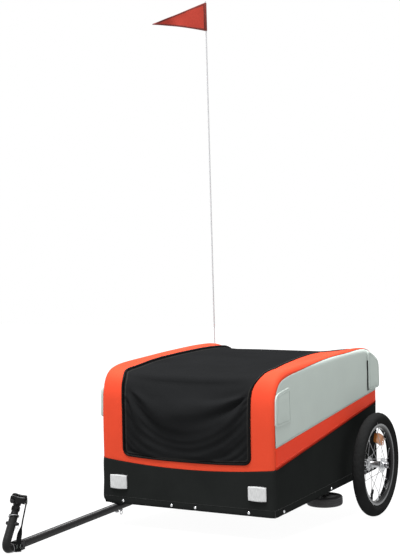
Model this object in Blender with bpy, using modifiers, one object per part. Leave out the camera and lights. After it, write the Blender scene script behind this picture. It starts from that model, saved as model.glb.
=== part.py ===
"""Two-wheel bike cargo trailer: steel tube frame, fabric body with a black
tonneau cover, spoked 16 inch wheels on push-button axles, straight drawbar
with a rubber elbow coupling, safety strap, flag on a pole and a small
fold-down support wheel under the floor.

Everything is drawn in the trailer's own level frame (metres, X across,
-Y towards the coupling, Z up, wheel axis at y = 0).  The whole trailer is
then tipped nose-down about its wheel axis until the rubber elbow touches the
ground, which is how it stands when it is not hitched, and moved so that the
origin is the bottom centre of its box.
"""
import math

import bmesh
import bpy
from mathutils import Euler, Matrix, Quaternion, Vector

# ------------------------------------------------------------------ dimensions
# wheels (16 x 1.75 tyre)
WHEEL_R = 0.200
TYRE_SECTION_R = 0.0225
TYRE_WALL = 0.0030
WHEEL_X = 0.416                 # centre plane of each wheel from the middle
RIM_OUTER_R = 0.1572
RIM_INNER_R = 0.1410
SPOKES = 20
SPOKE_R = 0.0010
FLANGE_R = 0.0275
FLANGE_X = 0.028                # flange centre from the wheel's centre plane
AXLE_R = 0.0060
AXLE_BORE_R = 0.0064

# body
HALF_W = 0.350                  # outside of the fabric
Y_FRONT = -0.750
Y_REAR = 0.182
Z_BOTTOM = 0.145
SKIN = 0.003                    # fabric panel thickness in these solids
BAND_Z_FRONT = 0.312            # top of the black band at the front corner
BAND_Z_REAR = 0.421             # and at the rear corner
BAND_DIP = 0.021                # how far it bows down in the middle of the front
STRIPE_Z_FRONT = 0.385          # top of the orange side stripe
STRIPE_Z_REAR = 0.466
WINDOW_HALF = 0.260             # front opening under the cover
COVER_HALF_TOP = 0.2865         # half width of the cover on the top
FOLD_Z = 0.560                  # height where the front flap folds
FOLD_Y = -0.7385                # just outside the cover, so that the flap can lie back
GAP = 0.0003                    # running gap between touching solids

# frame
BAR = 0.025                     # square floor tubes
BAR_WALL = 0.0015
FRAME_X = 0.334                 # centre of the side rails and hoops
HOOP_R = 0.011
FLOOR_T = 0.004
MID_BAR_Y = -0.281
FRONT_BAR_Y = -0.734
REAR_BAR_Y = 0.166

# drawbar and coupling
DRAW_X = -0.305
DRAW_Z = 0.128
DRAW_R = 0.014
DRAW_WALL = 0.002
DRAW_FRONT_Y = -1.3187
HITCH_PIVOT_Y = -1.3370         # rivet of the coupling's fork
DRAW_REAR_Y = -0.250
PIN_Y = -0.708                  # pull pin
BOLT_Y = -0.736                 # fixed bolt
ELBOW_R = 0.014
ARM_TOP = (-1.3545, 0.2290)     # y, z of the top of the rubber elbow
ARM_DIR = (0.474, 0.8805)       # its direction there (y, z)

# flag
POLE_X = -0.3585
POLE_Y = 0.1406
POLE_R = 0.0030
POLE_TOP = 2.060
POLE_FOOT = 0.330
FLAG_LOW = 1.938
FLAG_HIGH = 2.054
FLAG_LEN = 0.226
FLAG_TURN = math.radians(20.0)

# support wheel, stowed flat under the floor
SUP_X = 0.278
SUP_Y = -0.184
SUP_R = 0.0695
SUP_LOW = 0.070
SUP_HIGH = 0.105
SUP_ARM = 0.040
SUP_HINGE_Z = 0.1265

# ------------------------------------------------------------------ scene set-up
for old in list(bpy.data.objects):
    bpy.data.objects.remove(old, do_unlink=True)

PARTS = bpy.data.collections.new("bike_cargo_trailer")
CUTTERS = bpy.data.collections.new("cutters")
bpy.context.scene.collection.children.link(PARTS)
bpy.context.scene.collection.children.link(CUTTERS)


def material(name, colour, roughness, metallic=0.0):
    m = bpy.data.materials.new(name)
    m.use_nodes = True
    bsdf = m.node_tree.nodes["Principled BSDF"]
    bsdf.inputs["Base Color"].default_value = (*colour, 1.0)
    bsdf.inputs["Roughness"].default_value = roughness
    bsdf.inputs["Metallic"].default_value = metallic
    m.diffuse_color = (*colour, 1.0)
    return m


STEEL_BLACK = material("frame_powder_coat", (0.020, 0.020, 0.021), 0.45, 0.3)
STEEL_BRIGHT = material("bright_zinc", (0.62, 0.62, 0.63), 0.30, 1.0)
ALUMINIUM = material("hub_aluminium", (0.66, 0.67, 0.69), 0.32, 1.0)
RIM_BLACK = material("rim_black", (0.018, 0.018, 0.019), 0.35, 0.6)
TYRE_RUBBER = material("tyre_rubber", (0.016, 0.016, 0.016), 0.75)
ELBOW_RUBBER = material("elbow_rubber", (0.018, 0.018, 0.018), 0.60)
PLASTIC_BLACK = material("black_plastic", (0.018, 0.018, 0.019), 0.50)
FABRIC_BLACK = material("fabric_black", (0.018, 0.019, 0.020), 0.85)
FABRIC_ORANGE = material("fabric_orange", (0.760, 0.080, 0.030), 0.80)
FABRIC_GREY = material("fabric_grey", (0.370, 0.410, 0.390), 0.80)
FABRIC_RED = material("flag_fabric", (0.600, 0.050, 0.035), 0.80)
WEBBING = material("webbing_black", (0.015, 0.015, 0.016), 0.85)
FLOOR_BOARD = material("floor_board_black", (0.030, 0.030, 0.031), 0.70)
REFLECTOR_WHITE = material("reflector_clear", (0.70, 0.71, 0.70), 0.20)
POLE_WHITE = material("pole_fibreglass", (0.72, 0.72, 0.72), 0.40)


# ------------------------------------------------------------------ body empties
def empty(name, parent, at):
    e = bpy.data.objects.new(name, None)
    e.empty_display_size = 0.03
    PARTS.objects.link(e)
    e.parent = parent
    e.location = at
    return e


LEVEL = empty("level_frame", None, (0.0, 0.0, 0.0))
BODY = {"root": LEVEL}
PIVOT = {"root": Vector((0.0, 0.0, 0.0))}


def body(name, parent, at):
    """An empty on the joint's axis, given in the level frame."""
    at = Vector(at)
    BODY[name] = empty("axis_" + name, BODY[parent], at - PIVOT[parent])
    PIVOT[name] = at


def place(ob, owner, at=(0.0, 0.0, 0.0), mat=None, turn=None, cutter=False):
    (CUTTERS if cutter else PARTS).objects.link(ob)
    ob.parent = BODY[owner]
    ob.location = Vector(at) - PIVOT[owner]
    if turn is not None:
        ob.rotation_mode = "QUATERNION"
        ob.rotation_quaternion = turn
    if mat is not None:
        ob.data.materials.append(mat)
    if cutter:
        ob.hide_render = True
        ob.display_type = "WIRE"
    return ob


def along(direction):
    """Rotation that takes +Z to the given direction."""
    return Vector((0.0, 0.0, 1.0)).rotation_difference(Vector(direction))


# ------------------------------------------------------------------ shape helpers
def box(name, owner, mat, lo, hi, bevel=0.0, segments=1, cutter=False):
    lo, hi = Vector(lo), Vector(hi)
    me = bpy.data.meshes.new(name)
    bm = bmesh.new()
    bmesh.ops.create_cube(bm, size=1.0)
    bmesh.ops.scale(bm, vec=hi - lo, verts=bm.verts)
    bm.to_mesh(me)
    bm.free()
    ob = place(bpy.data.objects.new(name, me), owner, (lo + hi) / 2, mat, cutter=cutter)
    if bevel:
        mod = ob.modifiers.new("edges", "BEVEL")
        mod.width = bevel
        mod.segments = segments
        mod.limit_method = "ANGLE"
        mod.angle_limit = math.radians(40)
    return ob


def rod(name, owner, mat, p0, p1, r, sides=24, r_end=None, cutter=False):
    p0, p1 = Vector(p0), Vector(p1)
    me = bpy.data.meshes.new(name)
    bm = bmesh.new()
    bmesh.ops.create_cone(bm, cap_ends=True, segments=sides, radius1=r,
                          radius2=r if r_end is None else r_end, depth=(p1 - p0).length)
    bm.to_mesh(me)
    bm.free()
    me.shade_smooth()
    me.set_sharp_from_angle(angle=math.radians(35))
    return place(bpy.data.objects.new(name, me), owner, (p0 + p1) / 2, mat,
                 along(p1 - p0), cutter)


def turned(name, owner, mat, profile, centre, axis, steps=40, closed=False, cutter=False, phase=0.0):
    """Profile of (radius, height) points turned about an axis.

    The outer side runs from top to bottom.  A closed profile is a ring
    section, an open one starts and ends on the axis.
    """
    me = bpy.data.meshes.new(name)
    bm = bmesh.new()
    verts = [bm.verts.new((r, 0.0, h)) for r, h in profile]
    for a, b in zip(verts, verts[1:]):
        bm.edges.new((a, b))
    if closed:
        bm.edges.new((verts[-1], verts[0]))
    bm.to_mesh(me)
    bm.free()
    turn = along(axis) @ Quaternion((0.0, 0.0, 1.0), phase)
    ob = place(bpy.data.objects.new(name, me), owner, centre, mat, turn, cutter)
    mod = ob.modifiers.new("turn", "SCREW")
    mod.axis = "Z"
    mod.angle = math.tau
    mod.steps = steps
    mod.render_steps = steps
    mod.use_merge_vertices = True
    mod.merge_threshold = 0.00002
    mod.use_smooth_shade = True
    return ob


def tube(name, owner, mat, points, r, resolution=2):
    """Round bar or hose along a smooth path; points in the level frame."""
    points = [Vector(q) - PIVOT[owner] for q in points]
    cu = bpy.data.curves.new(name, "CURVE")
    cu.dimensions = "3D"
    cu.bevel_depth = r
    cu.bevel_resolution = resolution
    cu.use_fill_caps = True
    sp = cu.splines.new("POLY")
    sp.points.add(len(points) - 1)
    for p, q in zip(sp.points, points):
        p.co = (*q, 1.0)
    sp.use_smooth = True
    return place(bpy.data.objects.new(name, cu), owner, PIVOT[owner], mat)


TURN_YZ = Euler((math.pi / 2, 0.0, math.pi / 2)).to_quaternion()   # flat shape in Y-Z
TURN_XZ = Euler((math.pi / 2, 0.0, 0.0)).to_quaternion()           # flat shape in X-Z


def flat(name, owner, mat, outlines, plane, a, b, cutter=False):
    """Flat outline of (u, v) points extruded from a to b along X or Y."""
    cu = bpy.data.curves.new(name, "CURVE")
    cu.dimensions = "2D"
    cu.fill_mode = "BOTH"
    cu.extrude = abs(b - a) / 2
    for points in outlines:
        sp = cu.splines.new("POLY")
        sp.points.add(len(points) - 1)
        for p, (u, v) in zip(sp.points, points):
            p.co = (u, v, 0.0, 1.0)
        sp.use_cyclic_u = True
    mid = (a + b) / 2
    at, turn = ((mid, 0, 0), TURN_YZ) if plane == "YZ" else ((0, mid, 0), TURN_XZ)
    return place(bpy.data.objects.new(name, cu), owner, at, mat, turn, cutter)


def to_mesh(ob):
    """Curve object to a mesh object with welded caps, so that it can be cut."""
    bpy.context.view_layer.update()
    me = bpy.data.meshes.new_from_object(ob.evaluated_get(bpy.context.evaluated_depsgraph_get()))
    bm = bmesh.new()
    bm.from_mesh(me)
    bmesh.ops.remove_doubles(bm, verts=bm.verts, dist=0.00001)
    bm.to_mesh(me)
    bm.free()
    name, parent, world = ob.name, ob.parent, ob.matrix_world.copy()
    was_cutter = ob.name in CUTTERS.objects
    bpy.data.objects.remove(ob, do_unlink=True)
    new = bpy.data.objects.new(name, me)
    (CUTTERS if was_cutter else PARTS).objects.link(new)
    new.parent = parent
    bpy.context.view_layer.update()
    new.matrix_world = world
    if was_cutter:
        new.hide_render = True
        new.display_type = "WIRE"
    return new


def shell(name, owner, mat, surface, nu, nv, thickness=SKIN):
    """Fabric panel: a grid laid on surface(u, v), u and v from 0 to 1,
    thickened inwards.  surface gives the outer face."""
    me = bpy.data.meshes.new(name)
    bm = bmesh.new()
    bmesh.ops.create_grid(bm, x_segments=nu, y_segments=nv, size=0.5)
    for v in bm.verts:
        v.co = surface(v.co.x + 0.5, v.co.y + 0.5) - PIVOT[owner]
    bm.to_mesh(me)
    bm.free()
    me.shade_smooth()
    ob = place(bpy.data.objects.new(name, me), owner, PIVOT[owner], mat)
    mod = ob.modifiers.new("thickness", "SOLIDIFY")
    mod.thickness = thickness
    mod.offset = -1.0
    mod.use_even_offset = True
    return ob


def boolean(ob, other, operation="DIFFERENCE"):
    mod = ob.modifiers.new(operation.lower(), "BOOLEAN")
    mod.operation = operation
    mod.object = other
    mod.solver = "EXACT"
    return ob


def smooth_path(points, steps):
    """Catmull-Rom curve through the points, end points kept."""
    pts = [Vector(p) for p in points]
    pts = [2 * pts[0] - pts[1]] + pts + [2 * pts[-1] - pts[-2]]
    out = []
    for i in range(1, len(pts) - 2):
        p0, p1, p2, p3 = pts[i - 1:i + 3]
        for k in range(steps):
            t = k / steps
            out.append(0.5 * (2 * p1 + (p2 - p0) * t + (2 * p0 - 5 * p1 + 4 * p2 - p3) * t * t
                              + (3 * p1 - p0 - 3 * p2 + p3) * t ** 3))
    out.append(pts[-2])
    return out


def sample(points, count):
    """Points of a polyline at equal steps of its length."""
    cut = [0.0]
    for a, b in zip(points, points[1:]):
        cut.append(cut[-1] + (b - a).length)
    out = []
    for i in range(count):
        s = cut[-1] * i / (count - 1)
        k = 1
        while k < len(cut) - 1 and cut[k] < s:
            k += 1
        t = (s - cut[k - 1]) / (cut[k] - cut[k - 1])
        out.append(points[k - 1].lerp(points[k], t))
    return out


def mix(a, b, t):
    return a + (b - a) * t


def both_sides():
    return (("left", -1.0), ("right", 1.0))


# ------------------------------------------------------------------ stance
# centre line of the rubber elbow (y, z), and how far the trailer tips
# nose-down about its wheels before the elbow touches the ground
ELBOW = [(-1.3725, 0.1280), (-1.3870, 0.1282), (-1.3965, 0.1325), (-1.4000, 0.1430),
         (-1.3960, 0.1560), (-1.3860, 0.1730), (-1.3701, 0.2000), ARM_TOP]
elbow_path = sample(smooth_path([(DRAW_X, y, z) for y, z in ELBOW], 6), 18)


def elbow_clearance(tilt):
    """Height of the rubber elbow's underside when tipped about the wheels."""
    return min(WHEEL_R + p.y * math.sin(tilt) + (p.z - WHEEL_R) * math.cos(tilt) - ELBOW_R * 0.995
               for p in elbow_path)


lo, hi = 0.0, math.radians(10)
for _ in range(40):
    mid = 0.5 * (lo + hi)
    if elbow_clearance(mid) > 0.0:
        lo = mid
    else:
        hi = mid
TILT = lo

# ------------------------------------------------------------------ joint axes
for side, s in both_sides():
    body("axle_" + side, "root", (s * 0.340, 0.0, WHEEL_R))
    body("wheel_" + side, "axle_" + side, (s * WHEEL_X, 0.0, WHEEL_R))
    body("button_" + side, "axle_" + side, (s * 0.464, 0.0, WHEEL_R))
body("drawbar_pin", "root", (DRAW_X, PIN_Y, DRAW_Z))
HEAD_PIVOT = (DRAW_X, ARM_TOP[0] + 0.0035 * ARM_DIR[0], ARM_TOP[1] + 0.0035 * ARM_DIR[1])
body("hitch_arm", "root", (DRAW_X, HITCH_PIVOT_Y, DRAW_Z))
body("hitch_head", "hitch_arm", HEAD_PIVOT)
# the head stands turned on its arm, so that the clamp faces outwards; its
# pieces are given below as they would stand before that turn
HEAD_TURN = Quaternion(Vector((0.0, ARM_DIR[0], ARM_DIR[1])).normalized(), math.radians(29.0))
BODY["hitch_head"].rotation_mode = "QUATERNION"
BODY["hitch_head"].rotation_quaternion = HEAD_TURN
CLAMP_X, CLAMP_Z = -0.3185, 0.2790
body("hitch_jaw", "hitch_head", (CLAMP_X, -1.3525, CLAMP_Z))
body("hitch_knob", "hitch_jaw", (CLAMP_X, -1.3600, CLAMP_Z))
body("flag_pole", "root", (POLE_X, POLE_Y, POLE_FOOT))
body("flag", "flag_pole", (POLE_X, POLE_Y, 0.5 * (FLAG_LOW + FLAG_HIGH)))
body("cover_top", "root", (0.0, 0.1800, 0.6060))
body("cover_front", "cover_top", (0.0, FOLD_Y, FOLD_Z))
body("support_arm", "root", (SUP_X - SUP_ARM, SUP_Y, SUP_HINGE_Z))
body("support_wheel", "support_arm", (SUP_X, SUP_Y, 0.5 * (SUP_LOW + SUP_HIGH)))

# ------------------------------------------------------------------ floor frame
BAR_LOW = Z_BOTTOM + 0.0005
BAR_HIGH = BAR_LOW + BAR
BAR_MID = 0.5 * (BAR_LOW + BAR_HIGH)


def square_tube(name, lo, hi, axis):
    """Hollow square tube, open at both ends."""
    ob = box(name, "root", STEEL_BLACK, lo, hi)
    inner_lo, inner_hi = Vector(lo), Vector(hi)
    for k in range(3):
        if k == axis:
            inner_lo[k] -= 0.01
            inner_hi[k] += 0.01
        else:
            inner_lo[k] += BAR_WALL
            inner_hi[k] -= BAR_WALL
    boolean(ob, box(name + "_bore", "root", None, inner_lo, inner_hi, cutter=True))
    return ob


for side, s in both_sides():
    x0, x1 = sorted((s * (FRAME_X - BAR / 2), s * (FRAME_X + BAR / 2)))
    rail = square_tube("frame_rail_" + side, (x0, Y_FRONT + SKIN + 0.0005, BAR_LOW),
                       (x1, Y_REAR - SKIN - 0.0005, BAR_HIGH), 1)
    # welded axle receiver: a foot on the rail and a socket tube for the axle
    foot = box("receiver_foot_" + side, "root", None,
               (x0, -0.024, BAR_HIGH - 0.001), (x1, 0.024, WHEEL_R - 0.004),
               bevel=0.003, cutter=True)
    boolean(rail, foot, "UNION")
    socket = rod("receiver_socket_" + side, "root", None, (s * 0.3235, 0, WHEEL_R),
                 (s * 0.3560, 0, WHEEL_R), 0.0140, 24, cutter=True)
    boolean(rail, socket, "UNION")
    bore = rod("receiver_bore_" + side, "root", None, (s * 0.3150, 0, WHEEL_R),
               (s * 0.3600, 0, WHEEL_R), AXLE_BORE_R, 20, cutter=True)
    boolean(rail, bore)

CROSS_X = FRAME_X - BAR / 2 - GAP
crossbars = {}
for name, y in (("front", FRONT_BAR_Y), ("mid", MID_BAR_Y), ("axle", 0.0), ("rear", REAR_BAR_Y)):
    crossbars[name] = square_tube("crossbar_" + name, (-CROSS_X, y - BAR / 2, BAR_LOW),
                                  (CROSS_X, y + BAR / 2, BAR_HIGH), 0)

# welded plate under the front crossbar that carries the drawbar, drilled for
# the fixed bolt and the pull pin
plate = box("drawbar_plate", "root", None, (DRAW_X - 0.016, Y_FRONT + 0.0045, DRAW_Z + DRAW_R + 0.0004),
            (DRAW_X + 0.024, PIN_Y + 0.016, BAR_LOW + 0.0005), cutter=True)
boolean(crossbars["front"], plate, "UNION")
for label, y, r in (("bolt", BOLT_Y, 0.0043), ("pin", PIN_Y, 0.0043)):
    hole = rod("plate_hole_" + label, "root", None, (DRAW_X, y, 0.130), (DRAW_X, y, 0.160),
               r, 16, cutter=True)
    boolean(crossbars["front"], hole)

# welded hinge plate of the support wheel, behind the middle crossbar
hinge_x = SUP_X - SUP_ARM
boolean(crossbars["mid"], box("support_plate", "root", None,
                              (hinge_x - 0.0085, MID_BAR_Y - BAR / 2, BAR_LOW - 0.0050),
                              (hinge_x + 0.0140, SUP_Y + 0.0280, BAR_LOW + 0.0004), cutter=True), "UNION")
for k, y in enumerate((SUP_Y - 0.0240, SUP_Y + 0.0200)):
    lug = box("support_lug_%d" % k, "root", None, (hinge_x - 0.0080, y, SUP_HINGE_Z - 0.0075),
              (hinge_x + 0.0080, y + 0.0040, BAR_LOW - 0.0045), cutter=True)
    boolean(crossbars["mid"], lug, "UNION")
boolean(crossbars["mid"], rod("support_hinge_pin", "root", None, (hinge_x, SUP_Y - 0.0260, SUP_HINGE_Z),
                              (hinge_x, SUP_Y + 0.0260, SUP_HINGE_Z), 0.0030, 12, cutter=True), "UNION")

box("floor_board", "root", FLOOR_BOARD, (-0.3180, Y_FRONT + 0.0035, BAR_HIGH + 0.0004),
    (0.3180, Y_REAR - 0.0035, BAR_HIGH + 0.0004 + FLOOR_T))
FLOOR_TOP = BAR_HIGH + 0.0004 + FLOOR_T

# ------------------------------------------------------------------ side hoops
# centre line of each side hoop (y, z): up at the front, over, down at the rear
HOOP = [(-0.7340, BAR_HIGH + GAP), (-0.7338, 0.30), (-0.7325, 0.42), (-0.7290, 0.505),
        (-0.7235, 0.552), (-0.7130, 0.586), (-0.6950, 0.608), (-0.6680, 0.6195),
        (-0.6150, 0.6265), (-0.5200, 0.6295), (-0.4000, 0.6315), (-0.2500, 0.6330),
        (-0.0800, 0.6325), (0.0300, 0.6285), (0.0900, 0.6215), (0.1280, 0.6090),
        (0.1530, 0.5860), (0.1650, 0.5500), (0.1660, 0.4800), (0.1660, 0.3300),
        (0.1660, BAR_HIGH + GAP)]
hoop_path = smooth_path([(0.0, y, z) for y, z in HOOP], 2)


def profile_normal(path, i):
    a = path[max(i - 1, 0)]
    b = path[min(i + 1, len(path) - 1)]
    d = (b - a).normalized()
    return Vector((0.0, -d.z, d.y))          # points outwards (forwards, then up)


for side, s in both_sides():
    tube("side_hoop_" + side, "root", STEEL_BLACK,
         [(s * FRAME_X, p.y, p.z) for p in hoop_path], HOOP_R, 2)

for name, y, z in (("front", -0.6860, 0.6040), ("rear", 0.1540, 0.5740)):
    rod("top_bar_" + name, "root", STEEL_BLACK, (-(FRAME_X - HOOP_R - 0.0006), y, z),
        (FRAME_X - HOOP_R - 0.0006, y, z), 0.0090, 16)

# ------------------------------------------------------------------ fabric body
def band_front(x):
    """Top edge of the black band across the front."""
    return BAND_Z_FRONT - BAND_DIP * (1.0 - (x / HALF_W) ** 2)


def window_low(x):
    """Lower edge of the front window."""
    return 0.3165 + 0.009 * (x / WINDOW_HALF) ** 2


def side_line(y, z_front, z_rear):
    return mix(z_front, z_rear, (y - Y_FRONT) / (Y_REAR - Y_FRONT))


INNER_W = HALF_W - SKIN - 0.0005
n = 12
xs = [mix(-INNER_W, INNER_W, i / n) for i in range(n + 1)]
flat("lower_panel_front", "root", FABRIC_BLACK,
     [[(-INNER_W, Z_BOTTOM), (INNER_W, Z_BOTTOM)] + [(x, band_front(x)) for x in reversed(xs)]],
     "XZ", Y_FRONT, Y_FRONT + SKIN)
flat("lower_panel_rear", "root", FABRIC_BLACK,
     [[(-INNER_W, Z_BOTTOM), (INNER_W, Z_BOTTOM), (INNER_W, BAND_Z_REAR), (-INNER_W, BAND_Z_REAR)]],
     "XZ", Y_REAR - SKIN, Y_REAR)

xs = [mix(-WINDOW_HALF + 0.0004, WINDOW_HALF - 0.0004, i / n) for i in range(n + 1)]
flat("surround_sill", "root", FABRIC_ORANGE,
     [[(x, band_front(x) + 0.0005) for x in xs] + [(x, window_low(x)) for x in reversed(xs)]],
     "XZ", Y_FRONT, Y_FRONT + SKIN)

# stations along the hoop with their outward directions; the shoulders and the
# top edges of the side panels are laid out from the same stations
stations = [(p, profile_normal(hoop_path, i)) for i, p in enumerate(hoop_path)]
over_top = [q for q in stations if q[0].z > FOLD_Z + 0.0008 or (q[0].z > 0.536 and q[0].y > 0)]
panel_top = [q for q in stations if q[0].z > 0.500]


axle_hole = [(0.0155 * math.cos(math.tau * k / 20), WHEEL_R + 0.0155 * math.sin(math.tau * k / 20))
             for k in range(20)]
for side, s in both_sides():
    x0, x1 = sorted((s * (HALF_W - SKIN), s * HALF_W))
    flat("lower_panel_" + side, "root", FABRIC_BLACK,
         [[(Y_FRONT, Z_BOTTOM), (Y_REAR, Z_BOTTOM), (Y_REAR, BAND_Z_REAR), (Y_FRONT, BAND_Z_FRONT)],
          axle_hole], "YZ", x0, x1)
    flat("side_stripe_" + side, "root", FABRIC_ORANGE,
         [[(Y_FRONT, BAND_Z_FRONT + 0.0005), (Y_REAR, BAND_Z_REAR + 0.0005),
           (Y_REAR, STRIPE_Z_REAR), (Y_FRONT + 0.003, STRIPE_Z_FRONT)]], "YZ", x0, x1)
    top = [p - nrm * 0.0012 for p, nrm in panel_top]
    flat("side_panel_" + side, "root", FABRIC_GREY,
         [[(Y_FRONT + 0.003, STRIPE_Z_FRONT + 0.0005), (Y_REAR, STRIPE_Z_REAR + 0.0005), (Y_REAR, 0.500)]
          + [(p.y, p.z) for p in reversed(top)] + [(-0.7400, 0.480)]], "YZ", x0, x1)

# grey corner pads; the rear left one is the pocket that the flag pole runs through
PAD_OUT = 0.0135
for side, s in both_sides():
    for end, y0, y1, z0, z1 in (("front", -0.7420, -0.6320, 0.4560, 0.5850),
                                ("rear", 0.0880, 0.1930, 0.4700, 0.5900)):
        x0, x1 = sorted((s * (HALF_W + GAP), s * (HALF_W + PAD_OUT)))
        pad = box("corner_pad_%s_%s" % (end, side), "root", FABRIC_GREY, (x0, y0, z0), (x1, y1, z1),
                  bevel=0.004, segments=2)
        if end == "rear" and side == "left":
            boolean(pad, rod("pole_passage", "root", None, (POLE_X, POLE_Y, 0.40),
                             (POLE_X, POLE_Y, 0.65), POLE_R + 0.0007, 14, cutter=True))


# orange surround: front posts, and shoulders over the hoops
def post_surface(s):
    low = 0.0

    def surface(u, v):
        x = mix(WINDOW_HALF + 0.0006, INNER_W, u)
        z = mix(band_front(x) + 0.0005, FOLD_Z, v)
        lean = 0.0110 * max(0.0, (z - 0.36) / (FOLD_Z - 0.36)) ** 2
        return Vector((s * x, Y_FRONT + low + lean, z))
    return surface


def cover_edge_half(y, z):
    """Half width of the cover where it passes (y, z)."""
    t = min(max((z - 0.545) / 0.075, 0.0), 1.0) if y < -0.6 else 1.0
    return mix(WINDOW_HALF, COVER_HALF_TOP, t * t * (3 - 2 * t))


# across each station: distance from the middle, and from the hoop's centre line
WRAP = [(HALF_W, -0.0003), (HALF_W, 0.0060), (0.3460, 0.0124), (0.3385, 0.0158), (0.3250, 0.0154)]
COVER_LIP = 0.0170


def shoulder_surface(s):
    def surface(u, v):
        p, nrm = over_top[int(round(v * (len(over_top) - 1)))]
        lip = p + nrm * COVER_LIP
        half = cover_edge_half(lip.y, lip.z) + 0.0014
        x, lift = (WRAP + [(half, COVER_LIP)])[int(round(u * 5))]
        q = p + nrm * lift
        return Vector((s * x, q.y, q.z))
    return surface


for side, s in both_sides():
    # the grid is laid so that its faces look outwards on both sides
    post = post_surface(s)
    shoulder = shoulder_surface(s)
    if s > 0:
        shell("surround_post_" + side, "root", FABRIC_ORANGE, post, 4, 6)
        shell("shoulder_" + side, "root", FABRIC_ORANGE, lambda u, v: shoulder(1 - u, v), 5, len(over_top) - 1)
    else:
        shell("surround_post_" + side, "root", FABRIC_ORANGE, lambda u, v: post(1 - u, v), 4, 6)
        shell("shoulder_" + side, "root", FABRIC_ORANGE, lambda u, v: shoulder(u, v), 5, len(over_top) - 1)

flat("rear_upper_panel", "root", FABRIC_ORANGE,
     [[(-INNER_W, BAND_Z_REAR + 0.0005), (INNER_W, BAND_Z_REAR + 0.0005), (INNER_W, 0.5340),
       (COVER_HALF_TOP - 0.001, 0.5340), (COVER_HALF_TOP - 0.001, 0.5940),
       (-COVER_HALF_TOP + 0.001, 0.5940), (-COVER_HALF_TOP + 0.001, 0.5340), (-INNER_W, 0.5340)]],
     "XZ", Y_REAR - SKIN, Y_REAR)

for side, s in both_sides():
    x0, x1 = sorted((s * 0.2465, s * 0.3185))
    box("reflector_front_" + side, "root", REFLECTOR_WHITE, (x0, Y_FRONT - 0.0080, 0.2010),
        (x1, Y_FRONT - GAP, 0.2480), bevel=0.0025, segments=2)

# ------------------------------------------------------------------ cover
COVER_SECTION = [(-0.7375, FOLD_Z + 0.0010), (-0.7270, 0.5890), (-0.7105, 0.6110), (-0.6830, 0.6255),
                 (-0.6200, 0.6340), (-0.4500, 0.6410), (-0.2000, 0.6420), (0.0000, 0.6340),
                 (0.1000, 0.6220), (0.1780, 0.6070)]
cover_path = sample(smooth_path([(0.0, y, z) for y, z in COVER_SECTION], 6), 22)


def cover_surface(u, v):
    i = int(round(v * (len(cover_path) - 1)))
    p = cover_path[i]
    nrm = profile_normal(cover_path, i)
    half = cover_edge_half(p.y, p.z) - 0.0010
    t = 2 * u - 1
    along_y = (p.y - Y_FRONT) / (Y_REAR - Y_FRONT)
    crown = 0.010 * (abs(t) ** 3) * min(1.0, 4.0 * along_y)
    return p + nrm * crown + Vector((half * t, 0, 0))


shell("cover_top", "cover_top", FABRIC_BLACK, cover_surface, 8, 21)


def flap_surface(u, v):
    x = mix(-WINDOW_HALF + 0.0006, WINDOW_HALF - 0.0006, u)
    z = mix(window_low(x) + 0.0010, FOLD_Z - 0.0008, v)
    lean = 0.0112 * max(0.0, (z - 0.36) / (FOLD_Z - 0.36)) ** 2
    return Vector((x, Y_FRONT + 0.0010 + lean, z))


shell("cover_front", "cover_front", FABRIC_BLACK, flap_surface, 8, 6)

# ------------------------------------------------------------------ wheels
def ring(r_mid, r_sec, start, end, count):
    """Arc of a ring section, angles from the outward direction, in degrees."""
    out = []
    for k in range(count):
        a = math.radians(mix(start, end, k / (count - 1)))
        out.append((r_mid + r_sec * math.cos(a), r_sec * math.sin(a)))
    return out


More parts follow.
